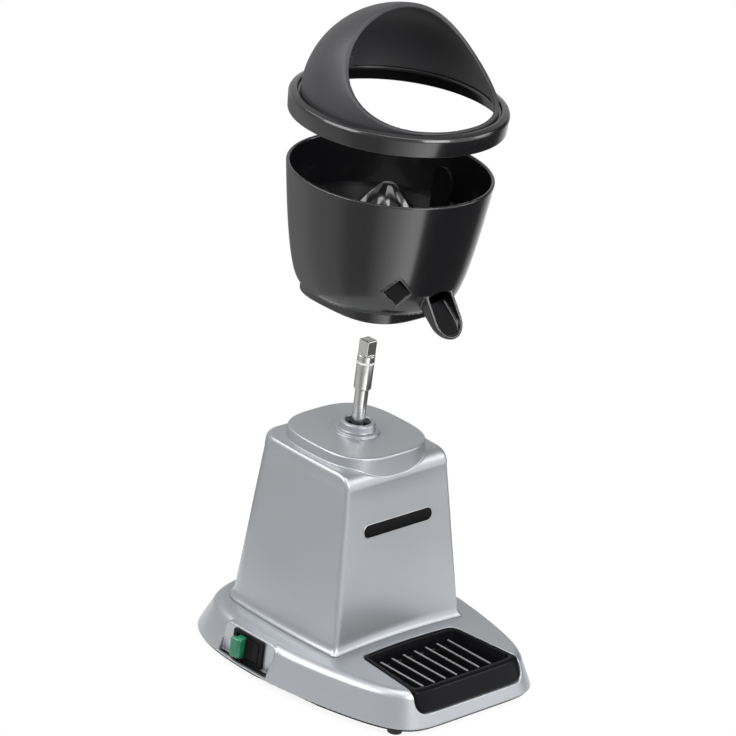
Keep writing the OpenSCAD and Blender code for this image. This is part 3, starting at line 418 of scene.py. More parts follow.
for node_name, node_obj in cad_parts.items():
    node_obj.data.materials.clear()
    node_obj.data.materials.append(NODE_FINISH[node_name])


# Body
ARC_FRONT, ARC_REAR, SIDE_STEPS, FRONT_STEPS = 8, 16, 20, 40
STRAIGHT_H, FILLET = 112.0, 12.0
BODY_W, BODY_FRONT, BODY_BACK = (128.0, 99.0), (65.5, 45.0), (54.0, 48.5)
FRONT_EDGE_R, REAR_EDGE_R, BODY_BOW, HOLLOW = 3.5, (22.0, 17.0), (2.0, 1.0), (3.0, 0.5)
# Hem at the foot of the body: chamfer, upright band, curve above it, how far it draws in
HEM_EDGE, HEM_BAND, HEM_CURVE, HEM_IN, HEM_POWER = 0.3, 1.0, 7.0, 2.0, 2.8
HEM_TOP = HEM_BAND + HEM_CURVE
SHOULDER_STEPS, SHOULDER_IN, CEILING_IN = 14, 4.0, 8.4
SEAT_HALF, SEAT_POWER, SEAT_DRAFT, SEAT_EDGE, SEAT_CROWN = 43.0, 3.0, 0.4, 1.6, 0.25
# Blend from the shoulder to the seat wall: how far out of the wall, and how far up
SEAT_BLEND = ((0.5, 0.12), (0.12, 0.45), (0.0, 1.0))
SEAT_EDGE_STEPS, CROWN_STEPS, CROWN_END = 6, (0.06, 0.2, 0.4, 0.6, 0.8, 0.94), 0.86
COLLAR_FOOT_R, COLLAR_BORE_R = 19.0, 9.0


def mix(a, b, t):
    """Value at share t of the way from a to b."""
    return a + (b - a) * t


def at_height(ends, t):
    """Value at share t of the body's height, from its values at foot and top."""
    return mix(ends[0], ends[1], t)


def corner(cx, cy, r, start, steps):
    """Quarter arc of a plan, from the start angle in degrees."""
    a = np.radians(start + 90 * np.arange(steps + 1) / steps)
    return np.stack([cx + r * np.cos(a), cy + r * np.sin(a)], 1)


def bowed(p, q, bow, steps):
    """Points between two points of a plan, bowed out by a parabola."""
    t = (np.arange(1, steps) / steps)[:, None]
    d = q - p
    away = np.array((d[1], -d[0])) / np.linalg.norm(d)
    return p + d * t + away * bow * 4 * t * (1 - t)


def body_ring(t, z, side_in, front_in):
    """Outline of the body at share t of its height, drawn in at the sides and front."""
    half = at_height(BODY_W, t) / 2 - side_in
    front = at_height(BODY_FRONT, t) - front_in
    back = at_height(BODY_BACK, t) - side_in
    rf, rb = FRONT_EDGE_R, at_height(REAR_EDGE_R, t) - side_in / 2
    bow, hollow = at_height(BODY_BOW, t), at_height(HOLLOW, t)
    a = corner(half - rf, -front + rf, rf, -90, ARC_FRONT)
    b = corner(half - rb, back - rb, rb, 0, ARC_REAR)
    c = corner(-half + rb, back - rb, rb, 90, ARC_REAR)
    d = corner(-half + rf, -front + rf, rf, 180, ARC_FRONT)
    plan = np.concatenate([
        a, bowed(a[-1], b[0], bow, SIDE_STEPS), b, bowed(b[-1], c[0], 0, SIDE_STEPS),
        c, bowed(c[-1], d[0], bow, SIDE_STEPS), d, bowed(d[-1], a[0], -hollow, FRONT_STEPS),
    ])
    return np.column_stack([plan, np.full(len(plan), z)])


def shoulder_ring(t):
    """Outline at share t of the round-over on top of the body."""
    turn = 1 - math.cos(math.pi / 2 * t)
    return body_ring(1, DECK_Z + STRAIGHT_H + FILLET * math.sin(math.pi / 2 * t),
                     SHOULDER_IN * turn ** 2, FILLET * turn)


def round_share(x, y):
    """Share of the round-over that a point of the front runs before it meets the seat wall."""
    half = SEAT_HALF + SEAT_DRAFT + SEAT_BLEND[0][0]
    meet = (half ** SEAT_POWER - min(abs(x), half) ** SEAT_POWER) ** (1 / SEAT_POWER)
    left = 1 - (BODY_FRONT[1] - HOLLOW[1] - meet) / FILLET
    return 1.0 if y > 0 or left <= 0 else math.acos(min(left, 0.99)) / (math.pi / 2)


def seat_ring(half, z, like):
    """Rounded square of the seat, with its points at the angles of another ring."""
    a = np.arctan2(like[:, 1], like[:, 0])
    r = half / (np.abs(np.cos(a)) ** SEAT_POWER + np.abs(np.sin(a)) ** SEAT_POWER) ** (1 / SEAT_POWER)
    return np.column_stack([r * np.cos(a), r * np.sin(a), np.broadcast_to(z, a.shape)])


def circle_ring(r, z, like):
    """Circle with its points at the angles of another ring."""
    a = np.arctan2(like[:, 1], like[:, 0])
    return np.column_stack([r * np.cos(a), r * np.sin(a), np.broadcast_to(z, a.shape)])


def body_rings():
    """Rings up the outside of the body, over its shoulder, seat and collar, and down the inside."""
    rings = [body_ring(0, DECK_Z, HEM_EDGE, HEM_EDGE), body_ring(0, DECK_Z + HEM_EDGE, 0, 0),
             body_ring(0, DECK_Z + HEM_BAND, 0, 0)]
    for s in np.linspace(0.12, 1, 8):
        inset = HEM_IN * (1 - (1 - s) ** HEM_POWER)
        z = DECK_Z + HEM_BAND + HEM_CURVE * s
        rings.append(body_ring((z - DECK_Z) / STRAIGHT_H, z, inset, inset))
    for s in np.linspace(0, 1, 10)[1:-1]:
        z = mix(DECK_Z + HEM_TOP, DECK_Z + STRAIGHT_H, s)
        inset = HEM_IN * (1 - s)
        rings.append(body_ring((z - DECK_Z) / STRAIGHT_H, z, inset, inset))
    share = np.array([round_share(x, y) for x, y, _ in shoulder_ring(1)])
    for k in range(SHOULDER_STEPS + 1):
        ring = np.empty((len(share), 3))
        for s in np.unique(share):
            rows = share == s
            ring[rows] = shoulder_ring(s * k / SHOULDER_STEPS)[rows]
        rings.append(ring)
    end = rings[-1]
    for out, up in SEAT_BLEND:
        rings.append(seat_ring(SEAT_HALF + SEAT_DRAFT + out, end[:, 2] + up, end))
    for k in range(SEAT_EDGE_STEPS + 1):
        a = math.pi / 2 * k / SEAT_EDGE_STEPS
        rings.append(seat_ring(SEAT_HALF - SEAT_EDGE * (1 - math.cos(a)),
                               SEAT_Z - SEAT_EDGE * (1 - math.sin(a)), end))
    edge = rings[-1]
    inner = circle_ring(COLLAR_FOOT_R, SEAT_Z, end)
    for s in CROWN_STEPS:
        ring = mix(edge, inner, s)
        ring[:, 2] = SEAT_Z + SEAT_CROWN * (s if s < CROWN_STEPS[-1] else CROWN_END)
        rings.append(ring)
    collar = round_profile([
        (COLLAR_FOOT_R, 0.22, 0.0), (16.2, 0.2, 0.9), (15.9, 2.1, 0.7), (13.0, 2.6, 1.0),
        (12.3, 7.8, 1.2), (COLLAR_BORE_R, COLLAR_H, 1.0), (COLLAR_BORE_R, -3.0, 0.0),
    ])
    for r, z in collar:
        rings.append(circle_ring(r, SEAT_Z + z, end))
    rings.append(circle_ring(COLLAR_BORE_R, SHOULDER_Z - WALL, end))
    rings.append(body_ring(1, SHOULDER_Z - WALL, WALL + SHOULDER_IN, WALL + CEILING_IN))
    rings.append(body_ring(1, DECK_Z + STRAIGHT_H, WALL, WALL))
    rings.append(body_ring(HEM_TOP / STRAIGHT_H, DECK_Z + HEM_TOP, WALL + HEM_IN, WALL + HEM_IN))
    rings.append(body_ring(0, DECK_Z, WALL, WALL))
    return rings


body_verts, body_faces = skin(body_rings(), closed_up=True)
body_verts[:, 1] += AXIS_Y
body = add_mesh("body_skin", body_verts, body_faces)
sharpen(body, 50)
piece(body, "base", "silver_paint", SILVER, "body_shell")


# Plinth and drip tray
LEAN_SLOPE = PLINTH_LEAN / PLINTH_H
PAD_X, PAD_Y, PAD_Z, PAD_HALF = 87.0, AXIS_Y - 6.0, 19.0, 25.0
PAD_DROP, PAD_ROOT, PAD_LIP = 0.6, 71.0, 1.0
HOLE_HALF_L, HOLE_HALF_H, HOLE_END = 13.0, 9.25, 60.0
SLOT_IN, SLOT_GAP = 2.4, 0.3
TRAY_Z, TRAY_BACK, FRONT_REACH = DECK_Z - 14.5, 73.0, 144.0
TRAY_HALF, TRAY_FLARE, FLARE_COSINE, TRAY_BOW = 45.0, 7.5, 0.9945, 2.2


def plinth_wall(x, y, z):
    """The leaning wall of the plinth."""
    inset = LEAN_SLOPE * (z - FOOT_H)
    n = np.where(y > 0, BACK_POWER, FRONT_POWER)
    half_y = PLINTH_D / 2 - inset
    narrow = 1 - PLINTH_TAPER * (np.maximum(0, -y) / (PLINTH_D / 2)) ** TAPER_POWER
    half_x = PLINTH_W / 2 * narrow - inset
    return oval(x, y, half_x, half_y, n) / math.hypot(1, LEAN_SLOPE)


def tray_plan(x, y):
    """Plan of the tray: it widens to the front and bows towards the body at the back."""
    forward = AXIS_Y - y
    flare = TRAY_FLARE * (forward - TRAY_BACK) / (FRONT_REACH - TRAY_BACK)
    side = (np.abs(x) - (TRAY_HALF + flare)) * FLARE_COSINE
    back = TRAY_BACK - TRAY_BOW * np.maximum(0, 1 - (x / TRAY_HALF) ** 2) - forward
    return both(side, back, 6.0)


def plinth_field(x, y, z):
    """Hollow plinth with the switch pad and its hole, the notch for the tray and the slot under the pad."""
    wall, beside = plinth_wall(x, y, z), np.abs(y - PAD_Y) - PAD_HALF
    top = both(wall, z - DECK_Z, 5.0)
    pad = both(both(beside, z - (DECK_Z - PAD_DROP), 5.0), -PAD_X - x, 1.0)
    pad = np.maximum(pad, x + PAD_ROOT)
    top = either(top, pad, 0.8)
    flat = both(both(x + PAD_X, beside, 0.6), FOOT_H + PAD_LIP - z, 0.6)
    top = cut(top, flat, 0.6)
    notch = both(tray_plan(x, y) - GAP, TRAY_Z - GAP - z, 7.5)
    top = cut(top, notch, 0.9)
    hole = np.maximum(np.abs(y - PAD_Y) - HOLE_HALF_L, np.abs(z - PAD_Z) - HOLE_HALF_H)
    hole = np.maximum(hole, x + HOLE_END)
    shell = np.maximum(both(top, FOOT_H - z, 0.7), -(top + WALL))
    slot = np.maximum(np.maximum(wall + SLOT_IN, x + PAD_X + SLOT_GAP), beside)
    return np.maximum(np.maximum(shell, -hole), -slot)


plinth = carved("plinth_skin", plinth_field, (-96, -111, 6.5), (96, 111, 32), 1.1, keep=0.4)
piece(plinth, "base", "silver_paint", SILVER, "plinth")

TRAY_TOP, TRAY_WALL, FRONT_WALL, TRAY_FLOOR = DECK_Z + 1.0, 3.0, 4.4, 3.0
TRAY_DRAFT, FRONT_DRAFT = 0.3, 0.6
RIB_PITCH, RIB_HALF, RIB_LANES, RIB_FOOT = 11.0, 0.8, 3, 2.0
RIB_MIDDLE, RIB_REACH = 101.5, 21.0


def tray_field(x, y, z):
    """Tray whose front follows the plinth's wall."""
    plan, wall = tray_plan(x, y), plinth_wall(x, y, z)
    block = both(both(plan, TRAY_Z - z, 7.0), both(wall, z - TRAY_TOP, 3.0), 1.8)
    block = both(block, z - TRAY_TOP, 1.7)
    slope = TRAY_DRAFT * (TRAY_TOP - z)
    sides = both(plan + TRAY_WALL + slope, wall + FRONT_WALL + FRONT_DRAFT * slope, 4.0)
    return cut(block, both(sides, TRAY_Z + TRAY_FLOOR - z, 2.5), 1.5)


def rib_field(x, y, z):
    """Upright ribs on the floor of the tray, one in each lane."""
    lane = np.clip(np.round(x / RIB_PITCH), -RIB_LANES, RIB_LANES)
    rib = both(np.abs(x - lane * RIB_PITCH) - RIB_HALF, np.abs(AXIS_Y - y - RIB_MIDDLE) - RIB_REACH, 0.7)
    rib = both(rib, z - RIB_TOP, 0.7)
    return np.maximum(rib, TRAY_Z + RIB_FOOT - z)


tray = carved("tray_skin", tray_field, (-54, -111, 15.5), (54, -35, 32.5), 0.6, keep=0.4)
piece(tray, "tray_set", "black_gloss", TRAY_BLACK, "drip_tray")
ribs = carved("tray_ribs", rib_field, (-36, AXIS_Y - 124, TRAY_Z + 1),
              (36, AXIS_Y - 79, RIB_TOP + 1), 0.5, keep=0.3)
piece(ribs, "tray_set", "black_gloss", RIB_BLACK)


# Bowl and reamer
BOWL_FOOT_R, BOWL_R, BOWL_POWER, BOWL_WALL, BOWL_FLOOR = 53.0, 71.5, 0.55, 2.6, 3.0
SKIRT_H, SKIRT_OUT, SKIRT_IN, SKIRT_POWER, SKIRT_ROOF = 9.5, 46.0, 43.8, 3.0, 1.2
SPOUT_TURN, SPOUT_IN, SPOUT_Z = math.radians(38), 3.0, 17.0
SPOUT_REACH, SPOUT_HALF, SPOUT_INNER, SPOUT_ROOT = 21.0, 13.0, 10.4, 4.0
RAIL_H, RAIL_FALL, CHANNEL_ROOT = 13.0, 0.27, 10.0
# Arch of the channel through the wall: height, start and rise past it, droop to the sides
ARCH_H, ARCH_START, ARCH_RISE, ARCH_DROOP = 12.5, 3.0, 1.6, 0.03
TUBE_MIDDLE, TUBE_HALF = 33.0, 24.6
MARK_TURN, MARK_TILT, MARK_Z, MARK_REACH = math.radians(-33), math.radians(13), 28.5, 9.2
MARK_DEEP, MARK_FRAME, MARK_PROUD, MARK_BACK = 1.1, 1.5, 0.55, 8.0
TUBE_Z = (0, 18.5, 24.5, 57.6)
TUBE_R = (19.0, 19.0, 10.8, 10.8)
BORE_Z = (0, 16.5, 22.5, 57.6)
BORE_R = (16.8, 16.8, 8.6, 8.6)


def bowl_radius(z):
    """Outer radius of the bowl at a height over its foot."""
    share = np.clip((z - SKIRT_H) / (BOWL_H - SKIRT_H), 1e-4, 1.2)
    return BOWL_FOOT_R + (BOWL_R - BOWL_FOOT_R) * share ** BOWL_POWER


def bowl_wall(r, z):
    """Distance from the outside of the bowl, with the slope limited near the foot."""
    step = 0.05
    slope = (bowl_radius(z + step) - bowl_radius(z - step)) / (2 * step)
    return (r - bowl_radius(z)) / np.sqrt(1 + np.minimum(slope, 2.5) ** 2)


MARK_R = float(bowl_radius(MARK_Z))


def bowl_field(x, y, z):
    """Bowl with spout, skirt and centre tube, and a framed diamond pocket beside the spout."""
    y, z = y - AXIS_Y, z - BOWL_Z
    r = np.hypot(x, y)
    wall = bowl_wall(r, z)
    cup = both(both(wall, z - BOWL_H, 1.1), SKIRT_H - 1.5 - z, 1.2)
    sy, sz = y + BOWL_FOOT_R - SPOUT_IN, z - SPOUT_Z
    s = -math.cos(SPOUT_TURN) * sy - math.sin(SPOUT_TURN) * sz
    n = -math.sin(SPOUT_TURN) * sy + math.cos(SPOUT_TURN) * sz
    past = s - SPOUT_REACH
    tip = np.where(past > 0, np.hypot(x, past), np.abs(x)) - SPOUT_HALF
    rail = n - (RAIL_H - RAIL_FALL * (s + SPOUT_ROOT))
    chute = both(both(both(tip, -n, 2.5), rail, 0.9), -SPOUT_ROOT - s, 0.5)
    cup = either(cup, chute, 0.5)
    inside = both(r - bowl_radius(z) + BOWL_WALL, SKIRT_H + BOWL_FLOOR - z, 5.0)
    inner_tip = np.where(past > 0, np.hypot(x, np.maximum(past, 0) * 0.9), np.abs(x)) - SPOUT_INNER
    channel = both(both(inner_tip, BOWL_WALL - n, 2.0), -CHANNEL_ROOT - s, 0.5)
    arch = (n - ARCH_H - ARCH_RISE * np.maximum(0, s - ARCH_START) + ARCH_DROOP * x * x) / 1.3
    channel = both(channel, arch, 1.5)
    cup = cut(cut(cup, inside, 0.9), channel, 0.7)
    skirt = both(both(oval(x, y, SKIRT_OUT, SKIRT_OUT, SKIRT_POWER), z - SKIRT_H, 0.7), 0.5 - z, 0.5)
    cup = either(cup, skirt, 0.5)
    tube = both(r - np.interp(z, TUBE_Z, TUBE_R), np.abs(z - TUBE_MIDDLE) - TUBE_HALF, 0.5)
    cup = either(cup, tube, 1.0)
    seat = both(oval(x, y, SKIRT_IN, SKIRT_IN, SKIRT_POWER), z - (SKIRT_H - SKIRT_ROOF), 0.5)
    cup = cut(cup, seat, 0.3)
    cup = cut(cup, r - np.interp(z, BORE_Z, BORE_R), 0.4)
    px, py, pz = x - MARK_R * math.sin(MARK_TURN), y + MARK_R * math.cos(MARK_TURN), z - MARK_Z
    u = math.cos(MARK_TURN) * px + math.sin(MARK_TURN) * py
    out = math.sin(MARK_TURN) * px - math.cos(MARK_TURN) * py
    w = math.cos(MARK_TILT) * pz - math.sin(MARK_TILT) * out
    out = math.cos(MARK_TILT) * out + math.sin(MARK_TILT) * pz
    diamond = (np.abs(u) + np.abs(w) - MARK_REACH) / math.sqrt(2)
    frame_rib = both(both(diamond - MARK_FRAME, -(diamond + 0.2), 0.3), wall - MARK_PROUD, 0.3)
    frame_rib = np.maximum(np.maximum(frame_rib, -wall - 1.2), -out - MARK_BACK)
    cup = either(cup, frame_rib, 0.3)
    return cut(cup, both(both(diamond, -out - MARK_DEEP, 0.2), -out - MARK_BACK, 0.2), 0.35)


def pocket_shade_sheet():
    """A dark matt diamond in the pocket, a little smaller than it and just over its floor: painted shade
    that stands in for the shade inside the pocket.
    """
    points = []
    for rise, reach in ((-1.3, MARK_REACH - 0.6), (-0.75, MARK_REACH - 0.6), (-0.6, MARK_REACH - 1.1)):
        for u, w in ((reach, 0), (0, reach), (-reach, 0), (0, -reach)):
            out = math.cos(MARK_TILT) * rise - math.sin(MARK_TILT) * w
            z = math.sin(MARK_TILT) * rise + math.cos(MARK_TILT) * w
            x = math.cos(MARK_TURN) * u + math.sin(MARK_TURN) * (MARK_R + out)
            y = math.sin(MARK_TURN) * u - math.cos(MARK_TURN) * (MARK_R + out)
            points.append((x, AXIS_Y + y, BOWL_Z + MARK_Z + z))
    verts, faces = skin(np.array(points).reshape(3, 4, 3), cap_first=True, cap_last=True)
    return sharpen(add_mesh("bowl_pocket_shade_sheet", verts, faces), 20)


bowl = carved("bowl_skin", bowl_field, (-72.5, AXIS_Y - 80, BOWL_Z - 5),
              (72.5, AXIS_Y + 72.5, BOWL_Z + 95), 1.0, keep=0.4)
piece(bowl, "bowl_set", "black_gloss", BLACK, "bowl")
# A dark matt sheet in the diamond pocket: painted shade in place of the shade inside it
piece(pocket_shade_sheet(), "bowl_set", "black_satin", INNER_BLACK)

REAMER_Z, REAMER_TIP, REAMER_R = 42.0, 84.0, 34.0
RIDGES, RIDGE_SAMPLES, REAMER_RINGS = 10, 24, 48
TIP_R, TIP_SHARES, REAMER_RIM_H = 2.5, (0.15, 0.55, 0.85, 0.97), 3.0
RING_POWER, FLANK_POWER, VALLEY_POWER, VALLEY_DEPTH = 1.7, 0.72, 0.85, 0.17
# Foot ring of the reamer, then its bore for the tube, the sleeve and the drive insert
REAMER_FOOT = [(34.2, 2.6), (35.4, 2.5), (36.0, 2.0), (36.0, 0.6), (35.4, 0.0), (13.8, 0.0),
               (13.8, 16.0), (10.8, 16.0), (10.8, 23.6), (8.8, 23.6), (8.8, 35.0)]


def reamer_rings():
    """Rings from the tip down the ridged flank, round the foot and up the bore."""
    n = RIDGES * RIDGE_SAMPLES
    a = 2 * np.pi * np.arange(n) / n
    rings = []
    for i in range(REAMER_RINGS + 1):
        u = (i / REAMER_RINGS) ** RING_POWER
        base = TIP_R + (REAMER_R - TIP_R) * u ** FLANK_POWER
        if i < len(TIP_SHARES):
            base *= TIP_SHARES[i]
        valley = np.abs(np.sin(RIDGES * a / 2)) ** VALLEY_POWER
        r = base * (1 - VALLEY_DEPTH * min(1, 3 * u) * valley)
        z = REAMER_TIP - (REAMER_TIP - REAMER_Z - REAMER_RIM_H) * u
        rings.append(np.column_stack([r * np.cos(a), AXIS_Y + r * np.sin(a), np.full(n, BOWL_Z + z)]))
    for r, z in REAMER_FOOT:
        rings.append(np.column_stack([
            r * np.cos(a), AXIS_Y + r * np.sin(a), np.full(n, BOWL_Z + REAMER_Z + z)]))
    return rings


reamer_verts, reamer_faces = skin(reamer_rings()[::-1], cap_first=True, cap_last=True)
reamer = sharpen(add_mesh("reamer_skin", reamer_verts, reamer_faces), 40)
piece(reamer, "reamer_set", "black_gloss", BLACK, "reamer")


# Splash hood
SCOOP_R, SCOOP_FRONT, SCOOP_UP = 75.0, 62.0, 77.0
LIP_T, LIP_WIDE, LIP_BLEND = 1.1, 7.0, 1.2
TAB_HALF, TAB_MIDDLE, TAB_TALL, TAB_IN, TAB_OUT = 15.0, 4.0, 5.5, 61.8, 66.0

hood_ring = turned("ring_skin", [
    (72.3, -12.5, 0.5), (74.8, -12.5, 0.7), (75.5, -1.4, 1.6), (74.6, 0.5, 1.2), (71.2, 1.7, 0.6),
    (69.6, 1.7, 0.5), (69.0, 0.0, 0.4), (64.6, 0.0, 0.4), (64.6, -2.4, 0.4), (72.3, -2.4, 0.8),
], 160, RING_Z)
piece(sharpen(hood_ring, 60), "hood_set", "black_satin", BLACK, "hood_ring")


def ellipsoid(x, y, z, a, c):
    """Upright ellipsoid of radius a and height c."""
    k0 = np.sqrt((x * x + y * y) / (a * a) + z * z / (c * c))
    k1 = np.sqrt((x * x + y * y) / a ** 4 + z * z / c ** 4)
    return k0 * (k0 - 1) / np.maximum(k1, 1e-9)


def dome_field(x, y, z):
    """Half dome with a scooped mouth, a thicker lip round it and a tab inside the back."""
    y, z = y - AXIS_Y, z - RING_Z
    scoop = np.hypot(y + SCOOP_FRONT, z - SCOOP_UP) - SCOOP_R
    lip = LIP_T * np.clip((LIP_WIDE - scoop) / LIP_BLEND, 0, 1)
    outer = ellipsoid(x, y, z, DOME_R, DOME_H)
    inner = ellipsoid(x, y, z, DOME_R - DOME_WALL, DOME_H - DOME_WALL) + lip
    r = np.hypot(x, y)
    tab = both(both(np.abs(x) - TAB_HALF, np.abs(z - TAB_MIDDLE) - TAB_TALL, 0.6), TAB_IN - r, 0.6)
    tab = np.maximum(np.maximum(tab, r - TAB_OUT), -y)
    inner = cut(inner, tab, 0.3)
    dome = cut(outer, inner, 0.4)
    dome = cut(dome, scoop, 0.8)
    front = both(y + SCOOP_FRONT, 2 - z, 0.2)
    return both(cut(dome, front, 0.3), -z, 0.3)


dome = carved("dome_skin", dome_field, (-68, AXIS_Y - 68, RING_Z - 0.5),
              (68, AXIS_Y + 68, RING_Z + 66.5), 0.85, keep=0.4)
piece(dome, "hood_set", "smoke_satin", SMOKE, "splash_dome")


# Switch
BEZEL_HALF_L, BEZEL_HALF_H, BEZEL_T = 15.0, 10.5, 2.0
NECK_HALF_L, NECK_HALF_H, NECK_DEEP = 12.8, 9.05, 8.0
ROCKER_R, ROCKER_H, PIVOT_IN, ROCKER_TILT = 11.0, 15.1, 7.0, math.radians(8)
ROCKER_BACK, ROCKER_DISH, LENS_GAP = 3.0, 0.08, 0.05
GROOVES, GROOVE_PITCH, GROOVE_R, GROOVE_OUT = (1, 2, 3), 2.0, 0.6, 0.5
STEM_MIDDLE, STEM_HALF = 5.0, 8.0
ROCKER_END, ROCKER_SWING, LENS_EDGE = 9.4, 15.0, -3.0
CAP_END, CAP_LOW, CAP_TOP, CAP_ROUND = 12.6, 11.4, 15.4, 2.4


def on_pad(x, y, z):
    """Along the plinth towards the front, up, and out of the pad."""
    return PAD_Y - y, z - PAD_Z, -PAD_X - x


def bezel_field(x, y, z):
    """Frame of the switch with the neck that goes through the pad."""
    u, v, w = on_pad(x, y, z)
    plate = both(both(box2(u, v, BEZEL_HALF_L, BEZEL_HALF_H, 2.0), w - BEZEL_T, 0.7), -w, 0.2)
    neck = np.maximum(np.maximum(box2(u, v, NECK_HALF_L, NECK_HALF_H, 0.5), -NECK_DEEP - w), w - 1)
    hole = box2(u, v, ROCKER_R + GAP, ROCKER_H / 2 + GAP, 0.6)
    return cut(np.minimum(plate, neck), hole, 0.5)


def rocker_frame(x, y, z):
    """Along the tilted rocker, up, and out from its pivot."""
    u, v, w = on_pad(x, y, z)
    w = w + PIVOT_IN
    c, s = math.cos(ROCKER_TILT), math.sin(ROCKER_TILT)
    return c * u - s * w, v, s * u + c * w


def rocker_form(p, v, q, low, high, edge):
    """Rocker from low to high along its face."""
    face = PIVOT_IN + BEZEL_T + GAP
    form = both(both(low - p, p - high, 0.2), q - face - ROCKER_DISH * np.abs(p), edge)
    form = both(form, np.hypot(p, q) - ROCKER_SWING, edge)
    form = both(form, np.abs(v) - ROCKER_H / 2, edge)
    return np.maximum(form, -ROCKER_BACK - q)


def rocker_field(x, y, z):
    """Dark half of the rocker, with grooves for the finger."""
    p, v, q = rocker_frame(x, y, z)
    form = rocker_form(p, v, q, LENS_EDGE + LENS_GAP, ROCKER_END, 0.5)
    out = q - PIVOT_IN - BEZEL_T - GAP - GROOVE_OUT
    for i in GROOVES:
        form = cut(form, np.hypot(p - LENS_EDGE - GROOVE_PITCH * i, out) - GROOVE_R, 0.2)
    return form


def lens_field(x, y, z):
    """Green half of the rocker: a stem in the bezel under a rounded cap that overhangs it."""
    p, v, q = rocker_frame(x, y, z)
    stem_half = (ROCKER_END + LENS_EDGE) / 2 - LENS_GAP
    stem = box2(p + (ROCKER_END - LENS_EDGE) / 2, v, stem_half, ROCKER_H / 2, 0.5)
    stem = both(stem, np.abs(q - STEM_MIDDLE) - STEM_HALF, 0.5)
    cap_half = (CAP_END + LENS_EDGE) / 2 - LENS_GAP
    cap = box2(p + (CAP_END - LENS_EDGE) / 2, v, cap_half, ROCKER_H / 2, CAP_ROUND)
    cap = both(both(cap, q - CAP_TOP, CAP_ROUND), CAP_LOW - q, 0.5)
    return either(stem, cap, 0.4)


SWITCH_LOW, SWITCH_HIGH = (-98.5, PAD_Y - 16, PAD_Z - 11.5), (-75, PAD_Y + 16, PAD_Z + 11.5)
bezel = carved("bezel_skin", bezel_field, SWITCH_LOW, SWITCH_HIGH, 0.4, keep=0.5)
piece(bezel, "base", "black_satin", SWITCH_BLACK, "switch_bezel")
rocker = carved("rocker_skin", rocker_field, SWITCH_LOW, SWITCH_HIGH, 0.35, keep=0.5)
piece(rocker, "rocker_set", "black_satin", SWITCH_BLACK, "rocker")
lens = carved("lens_skin", lens_field, SWITCH_LOW, SWITCH_HIGH, 0.35, keep=0.5)
piece(lens, "rocker_set", "green_lens", LENS, "rocker_lens")


# Spindle and feet
SHAFT_R, SLEEVE_R, TANG_HALF = 4.75, 6.2, 4.5
SLEEVE_LEN, SLEEVE_EDGE_R = 26.0, 5.6
# Groove of the sleeve and the white ring that sits in it
SLEEVE_GROOVE_R, WHITE_R, WHITE_LOW, WHITE_HIGH = 5.2, 6.5, -6.6, -5.0
FOOT_PLACES = ((58.9, -91.0), (-58.9, -91.0), (51.68, 91.0), (-51.68, 91.0))
FOOT_POINTS = [(0.01, 0.0, 0.0), (5.2, 0.0, 0.8), (6.0, 5.5, 0.5), (3.0, 5.5, 0.2), (3.0, 9.6, 0.2),
               (4.4, 9.6, 0.2), (2.4, 11.5, 0.4), (0.01, 11.5, 0.0)]
MOTOR_Z = DECK_Z + 14.0


def spindle_field(x, y, z):
    """Round shaft with a square tang on top."""
    y = y - AXIS_Y
    shaft = both(both(np.hypot(x, y) - SHAFT_R, z - SLEEVE_TOP, 0.2), MOTOR_Z + 2 - z, 0.5)
    tang = both(box2(x, y, TANG_HALF, TANG_HALF, 0.7), z - SPINDLE_TOP, 0.9)
    return np.minimum(shaft, np.maximum(tang, SLEEVE_TOP - 1 - z))


spindle = carved("spindle_skin", spindle_field, (-7, AXIS_Y - 7, MOTOR_Z + 1),
                 (7, AXIS_Y + 7, SPINDLE_TOP + 1), 0.6, keep=0.5)
piece(spindle, "spindle_set", "bright_steel", STEEL, "spindle")
sleeve = turned("sleeve_skin", [
    (SHAFT_R, -SLEEVE_LEN, 0.0), (SLEEVE_EDGE_R, -SLEEVE_LEN, 0.4), (SLEEVE_R, 1 - SLEEVE_LEN, 0.4),
    (SLEEVE_R, WHITE_LOW, 0.25), (SLEEVE_GROOVE_R, WHITE_LOW, 0.1), (SLEEVE_GROOVE_R, WHITE_HIGH, 0.1),
    (SLEEVE_R, WHITE_HIGH, 0.25), (SLEEVE_R, -0.6, 0.5), (SLEEVE_EDGE_R, 0.0, 0.3), (SHAFT_R, 0.0, 0.0),
], 48, SLEEVE_TOP)
piece(sharpen(sleeve, 50), "spindle_set", "bright_steel", STEEL, "drive_sleeve")
white_ring = turned("sleeve_ring_skin", [
    (SLEEVE_GROOVE_R, WHITE_LOW, 0.0), (WHITE_R, WHITE_LOW, 0.4), (WHITE_R, WHITE_HIGH, 0.4),
    (SLEEVE_GROOVE_R, WHITE_HIGH, 0.0),
], 48, SLEEVE_TOP)
piece(sharpen(white_ring, 50), "spindle_set", "white_ring", NYLON, "sleeve_ring")

feet = [turned("foot", FOOT_POINTS, 40, 0.0, place) for place in FOOT_PLACES]
with bpy.context.temp_override(active_object=feet[0], selected_editable_objects=feet):
    bpy.ops.object.join()
feet[0].name = "feet_skin"
piece(sharpen(feet[0], 50), "base", "rubber_black", RUBBER, "rubber_feet")


# Blank plate on the front
PLATE_W, PLATE_H, PLATE_Z, PLATE_RIM_W = 67.0, 10.0, 112.5, 0.45
END_STEPS = 12


def front_y(x, z):
    """Front face of the body at a height in its straight part."""
    t = (z - DECK_Z) / STRAIGHT_H
    inset = HEM_IN * (1 - (z - DECK_Z - HEM_TOP) / (STRAIGHT_H - HEM_TOP))
    half = at_height(BODY_W, t) / 2 - inset - FRONT_EDGE_R
    share = (x + half) / (2 * half)
    return AXIS_Y - at_height(BODY_FRONT, t) + inset + at_height(HOLLOW, t) * 4 * share * (1 - share)


